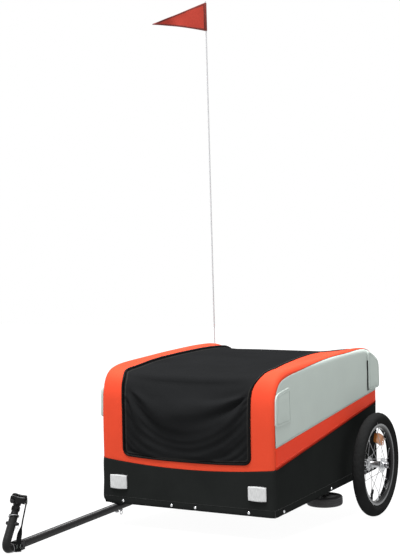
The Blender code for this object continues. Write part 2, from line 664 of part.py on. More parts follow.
TYRE_MID = WHEEL_R - TYRE_SECTION_R
TYRE_PROFILE = (ring(TYRE_MID, TYRE_SECTION_R, 146, -146, 11)
                + ring(TYRE_MID, TYRE_SECTION_R - TYRE_WALL, -142, 142, 7))
RIM_PROFILE = [(RIM_OUTER_R, 0.0135), (RIM_OUTER_R, 0.0118), (0.1500, 0.0085), (0.1490, 0.0000),
               (0.1500, -0.0085), (RIM_OUTER_R, -0.0118), (RIM_OUTER_R, -0.0135), (0.1480, -0.0130),
               (0.1420, -0.0085), (RIM_INNER_R, 0.0), (0.1420, 0.0085), (0.1480, 0.0130)]
for side, s in both_sides():
    centre = (s * WHEEL_X, 0.0, WHEEL_R)
    wheel = "wheel_" + side
    # the phase puts a corner of the polygon on the ground in the tipped stance
    turned("tyre_" + side, wheel, TYRE_RUBBER, TYRE_PROFILE, centre, (1, 0, 0), 40, closed=True,
           phase=-TILT)
    turned("rim_" + side, wheel, RIM_BLACK, RIM_PROFILE, centre, (1, 0, 0), 40, closed=True)
    # hub: boss, flange, barrel, flange, boss, all on a through bore
    inner_end, outer_end = -0.0555, 0.0375
    f, b = FLANGE_X, AXLE_BORE_R
    hub_profile = [(0.0095, outer_end), (0.0095, f + 0.0025), (FLANGE_R, f + 0.0015),
                   (FLANGE_R, f - 0.0015), (0.0145, f - 0.0045), (0.0145, -f + 0.0045),
                   (FLANGE_R, -f + 0.0015), (FLANGE_R, -f - 0.0015), (0.0095, -f - 0.0025),
                   (0.0095, inner_end), (b, inner_end), (b, outer_end)]
    hub = turned("hub_" + side, wheel, ALUMINIUM, hub_profile, centre, (s, 0, 0), 24, closed=True)
    # laced spokes: two flanges, each with leading and trailing spokes
    sm = bpy.data.meshes.new("spoke_set_" + side)
    bm = bmesh.new()
    per_flange = SPOKES // 2
    for flange in (-1, 1):
        for k in range(per_flange):
            hole = math.tau * k / per_flange + (math.pi / per_flange if flange > 0 else 0.0)
            lead = 1 if k % 2 == 0 else -1
            rim_angle = hole + lead * math.radians(72)
            p0 = Vector((flange * (f + lead * 0.0022), (FLANGE_R - 0.0040) * math.cos(hole),
                         (FLANGE_R - 0.0040) * math.sin(hole)))
            p1 = Vector((flange * 0.0030, (RIM_INNER_R - 0.0011) * math.cos(rim_angle),
                         (RIM_INNER_R - 0.0011) * math.sin(rim_angle)))
            made = bmesh.ops.create_cone(bm, cap_ends=True, segments=6, radius1=SPOKE_R,
                                         radius2=SPOKE_R, depth=(p1 - p0).length)
            turn = along(p1 - p0).to_matrix().to_4x4()
            bmesh.ops.transform(bm, matrix=Matrix.Translation((p0 + p1) / 2) @ turn, verts=made["verts"])
    bm.to_mesh(sm)
    bm.free()
    spokes = place(bpy.data.objects.new("spoke_set_" + side, sm), wheel, centre, None, cutter=True)
    mod = boolean(hub, spokes, "UNION").modifiers[-1]
    mod.use_self = True
    # push-button axle: shaft, head with a blind bore, and the button in it
    axle = "axle_" + side
    shaft = [(0.0115, 0.4640), (0.0125, 0.4630), (0.0125, 0.4560), (AXLE_R, 0.4560),
             (AXLE_R, 0.3260), (AXLE_R - 0.0015, 0.3240), (0.0, 0.3240)]
    shaft = [(0.0, 0.4575), (0.0048, 0.4575), (0.0048, 0.4640)] + shaft
    turned("axle_" + side, axle, STEEL_BRIGHT, [(r, h - 0.3500) for r, h in shaft],
           (s * 0.3500, 0.0, WHEEL_R), (s, 0, 0), 24)
    rod("axle_button_" + side, "button_" + side, PLASTIC_BLACK, (s * 0.4612, 0, WHEEL_R),
        (s * 0.4675, 0, WHEEL_R), 0.0045, 20)

# ------------------------------------------------------------------ drawbar
bar = rod("drawbar", "root", STEEL_BLACK, (DRAW_X, DRAW_FRONT_Y, DRAW_Z), (DRAW_X, DRAW_REAR_Y, DRAW_Z),
          DRAW_R, 24)
boolean(bar, rod("drawbar_bore", "root", None, (DRAW_X, DRAW_FRONT_Y - 0.01, DRAW_Z),
                 (DRAW_X, DRAW_REAR_Y + 0.01, DRAW_Z), DRAW_R - DRAW_WALL, 24, cutter=True))
for label, y in (("bolt", BOLT_Y), ("pin", PIN_Y), ("rear", MID_BAR_Y)):
    boolean(bar, rod("drawbar_hole_" + label, "root", None, (DRAW_X, y, DRAW_Z - 0.03),
                     (DRAW_X, y, DRAW_Z + 0.03), 0.0043, 16, cutter=True))
# hole for the rear bolt in the middle crossbar's lower wall
boolean(crossbars["mid"], rod("rear_bolt_hole", "root", None, (DRAW_X, MID_BAR_Y, DRAW_Z),
                              (DRAW_X, MID_BAR_Y, BAR_LOW + 0.010), 0.0043, 16, cutter=True))


def hex_bolt(name, y, top):
    """Hexagon bolt from below: head under the tube, shank up into the frame."""
    head = rod(name, "root", STEEL_BRIGHT, (DRAW_X, y, DRAW_Z - DRAW_R - 0.0003 - 0.0060),
               (DRAW_X, y, DRAW_Z - DRAW_R - 0.0003), 0.0072, 6)
    shank = rod(name + "_shank", "root", None, (DRAW_X, y, DRAW_Z - DRAW_R - 0.0010), (DRAW_X, y, top),
                0.0040, 16, cutter=True)
    return boolean(head, shank, "UNION")


hex_bolt("drawbar_bolt_front", BOLT_Y, 0.1620)
hex_bolt("drawbar_bolt_rear", MID_BAR_Y, 0.1600)

# pull pin with its ring underneath
pin = rod("drawbar_pin", "drawbar_pin", STEEL_BRIGHT, (DRAW_X, PIN_Y, 0.1060), (DRAW_X, PIN_Y, 0.1480),
          0.0040, 16)
boolean(pin, rod("pin_collar", "drawbar_pin", None, (DRAW_X, PIN_Y, DRAW_Z - DRAW_R - 0.0040),
                 (DRAW_X, PIN_Y, DRAW_Z - DRAW_R - 0.0004), 0.0065, 16, cutter=True), "UNION")
ring_me = turned("pin_ring", "drawbar_pin", None,
                 [(0.0075 + 0.0012 * math.cos(-math.tau * k / 8), 0.0012 * math.sin(-math.tau * k / 8))
                  for k in range(8)],
                 (DRAW_X, PIN_Y, 0.1015), (1, 0, 0), 20, closed=True, cutter=True)
boolean(pin, ring_me, "UNION")

# ------------------------------------------------------------------ coupling
socket = box("hitch_socket", "root", PLASTIC_BLACK, (DRAW_X - 0.0155, -1.3525, 0.1120),
             (DRAW_X + 0.0155, DRAW_FRONT_Y - GAP, 0.1440), bevel=0.0030, segments=2)
boolean(socket, rod("socket_spigot", "root", None, (DRAW_X, DRAW_FRONT_Y - 0.004, DRAW_Z),
                    (DRAW_X, DRAW_FRONT_Y + 0.0220, DRAW_Z), DRAW_R - DRAW_WALL - 0.0006, 20, cutter=True), "UNION")
boolean(socket, rod("socket_bore", "root", None, (DRAW_X - 0.03, HITCH_PIVOT_Y, DRAW_Z),
                    (DRAW_X + 0.03, HITCH_PIVOT_Y, DRAW_Z), 0.0044, 16, cutter=True))

# steel fork: a web in front of the socket, two cheeks beside it and the rivet
fork = box("hitch_fork", "hitch_arm", STEEL_BRIGHT, (DRAW_X - 0.0188, -1.3722, 0.1150),
           (DRAW_X + 0.0188, -1.3250, 0.1410))
boolean(fork, box("fork_throat", "hitch_arm", None, (DRAW_X - 0.0158, -1.3692, 0.10),
                  (DRAW_X + 0.0158, -1.30, 0.16), cutter=True))
boolean(fork, rod("fork_rivet", "hitch_arm", None, (DRAW_X - 0.0215, HITCH_PIVOT_Y, DRAW_Z),
                  (DRAW_X + 0.0215, HITCH_PIVOT_Y, DRAW_Z), 0.0040, 16, cutter=True), "UNION")

tube("hitch_elbow", "hitch_arm", ELBOW_RUBBER, elbow_path, ELBOW_R, 4)


def on_arm(t, x=DRAW_X):
    """Point at distance t above the elbow's end, along the arm."""
    return Vector((x, ARM_TOP[0] + t * ARM_DIR[0], ARM_TOP[1] + t * ARM_DIR[1]))


rod("hitch_collar", "hitch_arm", STEEL_BRIGHT, on_arm(0.0008), on_arm(0.0036), 0.0162, 24)

HEAD_X0, HEAD_X1 = -0.3275, -0.2775
HEAD_LOW = 0.2745
MOUTH_LOW = 0.2835
WALL_BACK, WALL_FRONT, BASE_FRONT = -1.3220, -1.3320, -1.3405
JAW_BACK, JAW_FRONT = -1.3490, -1.3560
head = box("hitch_head", "hitch_head", PLASTIC_BLACK, (HEAD_X0, BASE_FRONT, HEAD_LOW),
           (HEAD_X1, WALL_BACK, MOUTH_LOW), bevel=0.0015)
# top line of the jaws: a hump on the left, then a shallow hollow
crest = [(HEAD_X1, 0.2948), (HEAD_X1 - 0.003, 0.2968), (-0.2880, 0.2962), (-0.2980, 0.2952),
         (-0.3070, 0.2955), (-0.3140, 0.2966), (-0.3200, 0.2970), (-0.3250, 0.2950), (HEAD_X0, 0.2915)]
wall = to_mesh(flat("head_wall", "hitch_head", None,
                    [[(HEAD_X0, MOUTH_LOW - 0.004), (HEAD_X1, MOUTH_LOW - 0.004)] + crest], "XZ", WALL_FRONT, WALL_BACK, cutter=True))
boolean(head, wall, "UNION")
neck = rod("head_neck", "hitch_head", None, on_arm(0.0042), on_arm(0.0535), 0.0118, 20, cutter=True)
# trimmed flush with the base in front, clear of the closing jaw
boolean(neck, box("neck_trim", "hitch_head", None, (-0.34, -1.3600, HEAD_LOW - 0.0015), (-0.25, BASE_FRONT + 0.0005, 0.3000),
                  cutter=True))
boolean(head, neck, "UNION")
boolean(head, rod("head_thread", "hitch_head", None, (CLAMP_X, -1.35, CLAMP_Z), (CLAMP_X, -1.31, CLAMP_Z),
                  0.0034, 14, cutter=True))
jaw = to_mesh(flat("hitch_jaw", "hitch_jaw", STEEL_BLACK,
                   [[(HEAD_X0, HEAD_LOW), (HEAD_X1, HEAD_LOW)] + crest], "XZ", JAW_FRONT, JAW_BACK))
jaw.data.materials.clear()
jaw.data.materials.append(PLASTIC_BLACK)
boolean(jaw, rod("jaw_hole", "hitch_jaw", None, (CLAMP_X, -1.37, CLAMP_Z), (CLAMP_X, -1.34, CLAMP_Z),
                 0.0034, 14, cutter=True))
knob = rod("hitch_knob", "hitch_knob", STEEL_BRIGHT, (CLAMP_X, -1.3650, CLAMP_Z), (CLAMP_X, JAW_FRONT - 0.0003, CLAMP_Z),
           0.0066, 12)
boolean(knob, rod("knob_shank", "hitch_knob", None, (CLAMP_X, -1.3570, CLAMP_Z), (CLAMP_X, -1.3310, CLAMP_Z),
                  0.0030, 14, cutter=True), "UNION")

# safety strap: from the right end of the head down beside the fork, edge on
# to the clamp's face above and turned broadside below
STRAP = [(-0.2648, -1.3370, 0.2880), (-0.2652, -1.3375, 0.2730), (-0.2690, -1.3400, 0.2540),
         (-0.2712, -1.3440, 0.2366), (-0.2733, -1.3490, 0.2180), (-0.2738, -1.3540, 0.2020),
         (-0.2755, -1.3610, 0.1840), (-0.2778, -1.3670, 0.1617), (-0.2780, -1.3700, 0.1389),
         (-0.2783, -1.3700, 0.1170)]
strap_path = sample(smooth_path(STRAP, 5), 16)


def strap_surface(u, v):
    i = int(round(v * (len(strap_path) - 1)))
    p = strap_path[i]
    k = min(1.0, max(0.0, (0.2020 - p[2]) / 0.0420))
    a = math.radians(mix(-69.0, -143.0, k * k * (3.0 - 2.0 * k)))
    w = mix(0.0090, -0.0090, u)
    return p + Vector((w * math.cos(a), w * math.sin(a), 0.0))


shell("safety_strap", "hitch_arm", WEBBING, strap_surface, 1, 15, 0.0020)

# ------------------------------------------------------------------ flag
# pole holder on the left side: a cup with a back plate
holder = rod("flag_socket", "root", PLASTIC_BLACK, (POLE_X, POLE_Y, POLE_FOOT - 0.008),
             (POLE_X, POLE_Y, POLE_FOOT + 0.045), 0.0066, 20)
boolean(holder, box("socket_plate", "root", None, (-HALF_W - 0.0035, POLE_Y - 0.014, POLE_FOOT - 0.008),
                    (-HALF_W - 0.0004, POLE_Y + 0.014, POLE_FOOT + 0.045), cutter=True), "UNION")
boolean(holder, rod("socket_well", "root", None, (POLE_X, POLE_Y, POLE_FOOT - 0.0003),
                    (POLE_X, POLE_Y, POLE_FOOT + 0.060), POLE_R + 0.0005, 14, cutter=True))
rod("flag_pole", "flag_pole", POLE_WHITE, (POLE_X, POLE_Y, POLE_FOOT), (POLE_X, POLE_Y, POLE_TOP),
    POLE_R, 12)

FLAG_BORE = POLE_R + 0.0004
direction = Vector((-math.cos(FLAG_TURN), -math.sin(FLAG_TURN), 0.0))
sleeve = turned("flag", "flag", FABRIC_RED,
                [(FLAG_BORE + 0.0012, 0.5 * (FLAG_HIGH - FLAG_LOW)), (FLAG_BORE + 0.0012, -0.5 * (FLAG_HIGH - FLAG_LOW)),
                 (FLAG_BORE, -0.5 * (FLAG_HIGH - FLAG_LOW)), (FLAG_BORE, 0.5 * (FLAG_HIGH - FLAG_LOW))],
                (POLE_X, POLE_Y, 0.5 * (FLAG_LOW + FLAG_HIGH)), (0, 0, 1), 16, closed=True)
cloth = flat("flag_cloth", "flag", None,
             [[(FLAG_BORE + 0.0004, -0.5 * (FLAG_HIGH - FLAG_LOW)), (FLAG_LEN, -0.0200), (FLAG_LEN, -0.0140),
               (FLAG_BORE + 0.0004, 0.5 * (FLAG_HIGH - FLAG_LOW))]], "XZ", -0.0006, 0.0006, cutter=True)
cloth.location = (0.0, 0.0, 0.0)
cloth.rotation_quaternion = (Matrix.Rotation(math.pi + FLAG_TURN, 3, "Z").to_quaternion() @ TURN_XZ)
cloth = to_mesh(cloth)
boolean(sleeve, cloth, "UNION")

# ------------------------------------------------------------------ support wheel
arm_z0, arm_z1 = SUP_HIGH + 0.0040, SUP_HIGH + 0.0080
arm = box("support_arm", "support_arm", STEEL_BLACK, (hinge_x, SUP_Y - 0.0170, arm_z0),
          (SUP_X + 0.0120, SUP_Y + 0.0170, arm_z1))
boolean(arm, rod("arm_barrel", "support_arm", None, (hinge_x, SUP_Y - 0.0180, SUP_HINGE_Z),
                 (hinge_x, SUP_Y + 0.0180, SUP_HINGE_Z), 0.0065, 16, cutter=True), "UNION")
boolean(arm, box("arm_web", "support_arm", None, (hinge_x - 0.0020, SUP_Y - 0.0170, arm_z0),
                 (hinge_x + 0.0060, SUP_Y + 0.0170, SUP_HINGE_Z), cutter=True), "UNION")
boolean(arm, rod("arm_bore", "support_arm", None, (hinge_x, SUP_Y - 0.03, SUP_HINGE_Z),
                 (hinge_x, SUP_Y + 0.03, SUP_HINGE_Z), 0.0034, 14, cutter=True))
boolean(arm, rod("arm_axle", "support_arm", None, (SUP_X, SUP_Y, SUP_LOW - 0.0030),
                 (SUP_X, SUP_Y, arm_z1 - 0.0010), 0.0050, 16, cutter=True), "UNION")
boolean(arm, rod("arm_axle_head", "support_arm", None, (SUP_X, SUP_Y, SUP_LOW - 0.0040),
                 (SUP_X, SUP_Y, SUP_LOW - 0.0005), 0.0100, 16, cutter=True), "UNION")
half = 0.5 * (SUP_HIGH - SUP_LOW)
turned("support_wheel", "support_wheel", TYRE_RUBBER,
       [(0.0160, half), (SUP_R - 0.0060, half), (SUP_R, half - 0.0060), (SUP_R, -half + 0.0060),
        (SUP_R - 0.0060, -half), (0.0160, -half), (0.0055, -half), (0.0055, half)],
       (SUP_X, SUP_Y, 0.5 * (SUP_LOW + SUP_HIGH)), (0, 0, 1), 32, closed=True)

# ------------------------------------------------------------------ final placing
LEVEL.rotation_euler = (TILT, 0.0, 0.0)
LEVEL.location = (0.0, WHEEL_R * math.sin(TILT), WHEEL_R * (1.0 - math.cos(TILT)))

# move the bottom centre of the whole trailer's box to the origin
bpy.context.view_layer.update()
graph = bpy.context.evaluated_depsgraph_get()
corners = []
for ob in PARTS.objects:
    if ob.type in {"MESH", "CURVE"}:
        ev = ob.evaluated_get(graph)
        me = ev.to_mesh()
        corners += [ev.matrix_world @ v.co for v in me.vertices]
        ev.to_mesh_clear()
low = Vector([min(c[k] for c in corners) for k in range(3)])
high = Vector([max(c[k] for c in corners) for k in range(3)])
LEVEL.location += Vector((-0.5 * (low.x + high.x), -0.5 * (low.y + high.y), -low.z))
bpy.context.view_layer.update()
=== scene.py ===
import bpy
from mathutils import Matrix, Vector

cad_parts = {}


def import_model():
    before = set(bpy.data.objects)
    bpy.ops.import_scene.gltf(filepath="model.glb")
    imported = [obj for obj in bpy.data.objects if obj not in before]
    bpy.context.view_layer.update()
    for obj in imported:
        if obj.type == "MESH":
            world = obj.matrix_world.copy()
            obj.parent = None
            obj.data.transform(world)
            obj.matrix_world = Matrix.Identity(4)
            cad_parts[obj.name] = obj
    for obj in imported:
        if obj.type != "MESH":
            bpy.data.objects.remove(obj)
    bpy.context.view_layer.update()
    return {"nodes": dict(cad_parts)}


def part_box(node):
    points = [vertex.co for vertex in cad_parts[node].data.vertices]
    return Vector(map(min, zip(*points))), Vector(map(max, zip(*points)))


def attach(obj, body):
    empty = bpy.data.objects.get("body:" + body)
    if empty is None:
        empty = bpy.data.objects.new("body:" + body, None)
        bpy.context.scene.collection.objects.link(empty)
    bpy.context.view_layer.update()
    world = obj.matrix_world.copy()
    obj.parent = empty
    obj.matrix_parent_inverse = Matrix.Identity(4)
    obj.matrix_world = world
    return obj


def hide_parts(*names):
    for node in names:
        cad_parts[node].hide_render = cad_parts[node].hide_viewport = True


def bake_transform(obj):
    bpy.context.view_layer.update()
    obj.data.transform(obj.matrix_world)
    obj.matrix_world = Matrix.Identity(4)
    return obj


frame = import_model()

import math

import bmesh
import bpy
import numpy as np
from mathutils import Matrix, Quaternion, Vector, noise

ROOT = "trailer_frame"
scene = bpy.context.scene

# ===================================================================== level frame
# The trailer is drawn in its own level frame: X across, -Y towards the
# coupling, Z up, wheel axis at y = 0, z = 0.2.  The tilt and the place of that
# frame come from the floor board and the axles.
WHEEL_R = 0.200
_floor = np.array([v.co for v in frame["nodes"]["floor_board"].data.vertices], float)
_flat = _floor[:, 1:] - _floor[:, 1:].mean(0)
_dir = np.linalg.eigh(_flat.T @ _flat)[1][:, -1]
TILT = math.atan(_dir[1] / _dir[0])
_axles = [np.array((a + b) / 2) for a, b in (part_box("axle_left"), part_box("axle_right"))]
_mid = (_axles[0] + _axles[1]) / 2
CT, ST = math.cos(TILT), math.sin(TILT)
ROT = np.array([[1, 0, 0], [0, CT, -ST], [0, ST, CT]])
SHIFT = _mid - ROT @ np.array([0, 0, WHEEL_R])
M = Matrix.Translation(Vector(SHIFT)) @ Matrix.Rotation(TILT, 4, "X")


def world(p):
    return np.asarray(p, float) @ ROT.T + SHIFT


# ===================================================================== dimensions
HALF_W = 0.3503
Y_FRONT = -0.750
Y_REAR = 0.182
HOOP_X = 0.334
WRAP_R = 0.0163
BAND_FRONT, BAND_REAR, BAND_DIP = 0.312, 0.421, 0.021
STRIPE_FRONT, STRIPE_REAR = 0.385, 0.466
WINDOW_HALF = 0.260
WINDOW_R = 0.026
WHEEL_X = 0.416
DRAW_X, DRAW_Z = -0.305, 0.128
POLE_X, POLE_Y = -0.3585, 0.1406
ARM_TOP = np.array([-1.3545, 0.2290])
ARM_DIR = np.array([0.474, 0.8805]) / np.hypot(0.474, 0.8805)


def band_front(x):
    return BAND_FRONT - BAND_DIP * (1 - (np.minimum(np.abs(x), 0.35) / 0.35) ** 2)


def band_side(y):
    return BAND_FRONT + (BAND_REAR - BAND_FRONT) * (y - Y_FRONT) / (Y_REAR - Y_FRONT)


def stripe_side(y):
    return STRIPE_FRONT + (STRIPE_REAR - STRIPE_FRONT) * (y - Y_FRONT) / (Y_REAR - Y_FRONT)


def window_low(x):
    return 0.3165 + 0.010 * (np.abs(x) / WINDOW_HALF) ** 2


def smoothstep(a, b, x):
    t = np.clip((np.asarray(x, float) - a) / (b - a), 0, 1)
    return t * t * (3 - 2 * t)


def catmull(points, steps):
    pts = [np.array(p, float) for p in points]
    pts = [2 * pts[0] - pts[1]] + pts + [2 * pts[-1] - pts[-2]]
    out = []
    for i in range(1, len(pts) - 2):
        p0, p1, p2, p3 = pts[i - 1:i + 3]
        for k in range(steps):
            t = k / steps
            out.append(0.5 * (2 * p1 + (p2 - p0) * t + (2 * p0 - 5 * p1 + 4 * p2 - p3) * t * t
                              + (3 * p1 - p0 - 3 * p2 + p3) * t ** 3))
    out.append(pts[-2])
    return np.array(out)


def arc_length(p):
    return np.concatenate([[0], np.cumsum(np.linalg.norm(np.diff(p, axis=0), axis=1))])


def resample(p, n):
    p = np.asarray(p, float)
    s = arc_length(p)
    t = np.linspace(0, s[-1], n)
    return np.stack([np.interp(t, s, p[:, k]) for k in range(p.shape[1])], 1)


# the side hoop's centre line (y, z); the fabric runs round its outside
HOOP = [(-0.7340, 0.1450), (-0.7338, 0.30), (-0.7325, 0.42), (-0.7290, 0.505),
        (-0.7235, 0.552), (-0.7130, 0.586), (-0.6950, 0.608), (-0.6680, 0.6195),
        (-0.6150, 0.6265), (-0.5200, 0.6295), (-0.4000, 0.6315), (-0.2500, 0.6330),
        (-0.0800, 0.6325), (0.0300, 0.6285), (0.0900, 0.6215), (0.1280, 0.6090),
        (0.1530, 0.5860), (0.1650, 0.5500), (0.1660, 0.4800), (0.1660, 0.3300),
        (0.1660, 0.1450)]
_hp = resample(catmull(HOOP, 12), 900)
_hs = arc_length(_hp)
_ht = np.gradient(_hp, _hs, axis=0)
_ht /= np.linalg.norm(_ht, axis=1)[:, None]
_hn = np.stack([-_ht[:, 1], _ht[:, 0]], 1)


def hoop_at(s):
    """Centre line point and outward direction (y, z) at length s."""
    s = np.asarray(s, float)
    p = np.stack([np.interp(s, _hs, _hp[:, k]) for k in (0, 1)], -1)
    n = np.stack([np.interp(s, _hs, _hn[:, k]) for k in (0, 1)], -1)
    return p, n / np.linalg.norm(n, axis=-1, keepdims=True)


def s_front(z):
    """Length along the hoop at height z on its front leg."""
    k = np.argmax(_hp[:, 1] > 0.60)
    return np.interp(z, _hp[:k, 1], _hs[:k])


def surf(xu, s, lift=0.0):
    """The fabric's outer face: xu is measured across the skin from the middle,
    flat to the hoop, then round it and down the side."""
    xu, s = np.broadcast_arrays(np.asarray(xu, float), np.asarray(s, float))
    sign = np.where(xu < 0, -1.0, 1.0)
    a = np.abs(xu)
    p, n = hoop_at(s)
    th = np.clip((a - HOOP_X) / WRAP_R, 0, math.pi / 2)
    r = WRAP_R + lift
    x = np.where(a <= HOOP_X, a, HOOP_X + r * np.sin(th))
    h = np.where(a <= HOOP_X, r, r * np.cos(th))
    over = np.maximum(a - HOOP_X - WRAP_R * math.pi / 2, 0)
    h = h - over
    return np.stack([sign * x, p[..., 0] + n[..., 0] * h, p[..., 1] + n[..., 1] * h], -1)


SIDE_U = HOOP_X + WRAP_R * math.pi / 2      # where the side plane starts


def fbm(p, scale, seed=0.0, octaves=3):
    """Smooth noise at each point, about -1 to 1."""
    p = np.asarray(p, float)
    flat = p.reshape(-1, 3)
    out = np.zeros(len(flat))
    for i, q in enumerate(flat):
        v = Vector((q[0] * scale + seed, q[1] * scale - seed, q[2] * scale + 2 * seed))
        a = 1.0
        for _ in range(octaves):
            out[i] += a * noise.noise(v)
            v = v * 2.03
            a *= 0.5
    return out.reshape(p.shape[:-1])


# ===================================================================== materials
def nodes_of(mat):
    mat.use_nodes = True
    t = mat.node_tree
    return t, t.nodes, t.links, t.nodes["Principled BSDF"]


def ramp(nodes, links, source, low, high, a, b, kind="FLOAT"):
    m = nodes.new("ShaderNodeMapRange")
    m.inputs["From Min"].default_value = low
    m.inputs["From Max"].default_value = high
    m.inputs["To Min"].default_value = a
    m.inputs["To Max"].default_value = b
    links.new(source, m.inputs["Value"])
    return m.outputs["Result"]


def texture(nodes, links, kind, coords, **values):
    t = nodes.new(kind)
    links.new(coords, t.inputs["Vector"])
    for k, v in values.items():
        t.inputs[k.replace("_", " ")].default_value = v
    return t


def mix_colour(nodes, links, fac, a, b):
    m = nodes.new("ShaderNodeMix")
    m.data_type = "RGBA"
    m.inputs["A"].default_value = (*a, 1)
    m.inputs["B"].default_value = (*b, 1)
    links.new(fac, m.inputs["Factor"])
    return m.outputs["Result"]


def scaled(c, k):
    return tuple(min(1.0, x * k) for x in c)


def fabric(name, colour, rough=0.72, pitch=0.0009, weave=0.35, sheen=0.0, spec=0.5, coat=0.0,
           variation=0.10, crease=0.25, dust=None):
    """Coated woven cloth: thread weave, slubs, soft creases and uneven dye."""
    mat = bpy.data.materials.new(name)
    tree, nodes, links, bsdf = nodes_of(mat)
    tc = nodes.new("ShaderNodeTexCoord")
    uv, obj = tc.outputs["UV"], tc.outputs["Object"]
    waves = []
    for axis in ("X", "Y"):
        w = nodes.new("ShaderNodeTexWave")
        w.wave_type, w.bands_direction = "BANDS", axis
        w.inputs["Scale"].default_value = 0.31416 / pitch
        w.inputs["Distortion"].default_value = 0.6
        w.inputs["Detail"].default_value = 1.0
        w.inputs["Detail Scale"].default_value = 2.0
        links.new(uv, w.inputs["Vector"])
        waves.append(w.outputs["Fac"])
    m = nodes.new("ShaderNodeMath")
    m.operation = "MULTIPLY"
    links.new(waves[0], m.inputs[0])
    links.new(waves[1], m.inputs[1])
    patch = texture(nodes, links, "ShaderNodeTexNoise", obj, Scale=7.0, Detail=5.0, Roughness=0.6)
    slub = texture(nodes, links, "ShaderNodeTexNoise", obj, Scale=260.0, Detail=2.0)
    fac = nodes.new("ShaderNodeMath")
    fac.operation = "MULTIPLY_ADD"
    links.new(slub.outputs["Fac"], fac.inputs[0])
    fac.inputs[1].default_value = 0.35
    links.new(ramp(nodes, links, patch.outputs["Fac"], 0.30, 0.70, 0.0, 0.65), fac.inputs[2])
    col = mix_colour(nodes, links, fac.outputs["Value"], scaled(colour, 1 - variation),
                     scaled(colour, 1 + variation) if dust is None else dust)
    links.new(col, bsdf.inputs["Base Color"])
    links.new(ramp(nodes, links, patch.outputs["Fac"], 0.3, 0.7, rough - 0.06, rough + 0.06), bsdf.inputs["Roughness"])
    soft = texture(nodes, links, "ShaderNodeTexNoise", obj, Scale=22.0, Detail=4.0, Roughness=0.55)
    b1 = nodes.new("ShaderNodeBump")
    b1.inputs["Strength"].default_value = crease
    b1.inputs["Distance"].default_value = 0.004
    links.new(soft.outputs["Fac"], b1.inputs["Height"])
    b2 = nodes.new("ShaderNodeBump")
    b2.inputs["Strength"].default_value = weave
    b2.inputs["Distance"].default_value = 0.0003
    links.new(m.outputs["Value"], b2.inputs["Height"])
    links.new(b1.outputs["Normal"], b2.inputs["Normal"])
    links.new(b2.outputs["Normal"], bsdf.inputs["Normal"])
    bsdf.inputs["Sheen Weight"].default_value = sheen
    bsdf.inputs["Sheen Roughness"].default_value = 0.4
    bsdf.inputs["Specular IOR Level"].default_value = spec
    bsdf.inputs["Coat Weight"].default_value = coat
    bsdf.inputs["Coat Roughness"].default_value = 0.45
    mat.diffuse_color = (*colour, 1)
    return mat


def hard(name, colour, rough, metallic=0.0, grain=400.0, bump=0.05, variation=0.08, spread=0.06, spec=0.5,
         coat=0.0, brushed=None, worn=None):
    """Paint, plated metal, rubber or moulded plastic with fine surface texture."""
    mat = bpy.data.materials.new(name)
    tree, nodes, links, bsdf = nodes_of(mat)
    tc = nodes.new("ShaderNodeTexCoord")
    obj = tc.outputs["Object"]
    src = obj
    if brushed is not None:
        mp = nodes.new("ShaderNodeMapping")
        mp.inputs["Scale"].default_value = brushed
        links.new(obj, mp.inputs["Vector"])
        src = mp.outputs["Vector"]
    broad = texture(nodes, links, "ShaderNodeTexNoise", obj, Scale=14.0, Detail=5.0, Roughness=0.6)
    fine = texture(nodes, links, "ShaderNodeTexNoise", src, Scale=grain, Detail=3.0, Roughness=0.6)
    col = mix_colour(nodes, links, ramp(nodes, links, broad.outputs["Fac"], 0.3, 0.7, 0.0, 1.0),
                     scaled(colour, 1 - variation), scaled(colour, 1 + variation))
    if worn is not None:
        spots = texture(nodes, links, "ShaderNodeTexNoise", obj, Scale=90.0, Detail=6.0, Roughness=0.7)
        m = nodes.new("ShaderNodeMix")
        m.data_type = "RGBA"
        links.new(ramp(nodes, links, spots.outputs["Fac"], 0.62, 0.74, 0.0, 0.8), m.inputs["Factor"])
        links.new(col, m.inputs["A"])
        m.inputs["B"].default_value = (*worn, 1)
        col = m.outputs["Result"]
    links.new(col, bsdf.inputs["Base Color"])
    links.new(ramp(nodes, links, fine.outputs["Fac"], 0.3, 0.7, max(0.03, rough - spread), rough + spread),
              bsdf.inputs["Roughness"])
    b = nodes.new("ShaderNodeBump")
    b.inputs["Strength"].default_value = bump
    b.inputs["Distance"].default_value = 0.0008
    links.new(fine.outputs["Fac"], b.inputs["Height"])
    links.new(b.outputs["Normal"], bsdf.inputs["Normal"])
    bsdf.inputs["Metallic"].default_value = metallic
    bsdf.inputs["Specular IOR Level"].default_value = spec
    bsdf.inputs["Coat Weight"].default_value = coat
    bsdf.inputs["Coat Roughness"].default_value = 0.08
    mat.diffuse_color = (*colour, 1)
    return mat


ORANGE = fabric("cloth_orange", (0.462, 0.0440, 0.0190), rough=0.66, pitch=0.0009, weave=0.22, spec=0.04,
                variation=0.05, crease=0.10)
# painted light: a brighter copy of the orange cloth for the side stripes, where the lamps light the sides less than the
# front
ORANGE_SIDE_PAINTED_LIGHT = fabric("cloth_orange_side_painted_light", (0.535, 0.0390, 0.0170), rough=0.66, pitch=0.0009, weave=0.22, spec=0.04,
                     variation=0.05, crease=0.10)
GREY = fabric("cloth_grey", (0.330, 0.370, 0.347), rough=0.72, pitch=0.0009, weave=0.22, spec=0.04, variation=0.04,
              crease=0.08)
BLACK = fabric("cloth_black", (0.0112, 0.0122, 0.0118), rough=0.66, pitch=0.0010, weave=0.30, spec=0.0, variation=0.14,
               crease=0.15)
COVER = fabric("cloth_cover", (0.0083, 0.0086, 0.0090), rough=0.70, pitch=0.0010, weave=0.30, spec=0.0,
               variation=0.12, crease=0.16)
WEBBING = fabric("webbing", (0.0065, 0.0065, 0.0068), rough=0.75, pitch=0.0022, weave=0.8, spec=0.0, variation=0.2)
# painted highlight: a lighter strip just inside the cover's binding tape, standing in for the light caught by the
# tape's inner edge
SEAM_PAINTED_HIGHLIGHT = fabric("cover_seam_painted_highlight", (0.0165, 0.0162, 0.0155), rough=0.70, pitch=0.0010, weave=0.30, spec=0.0, variation=0.2)
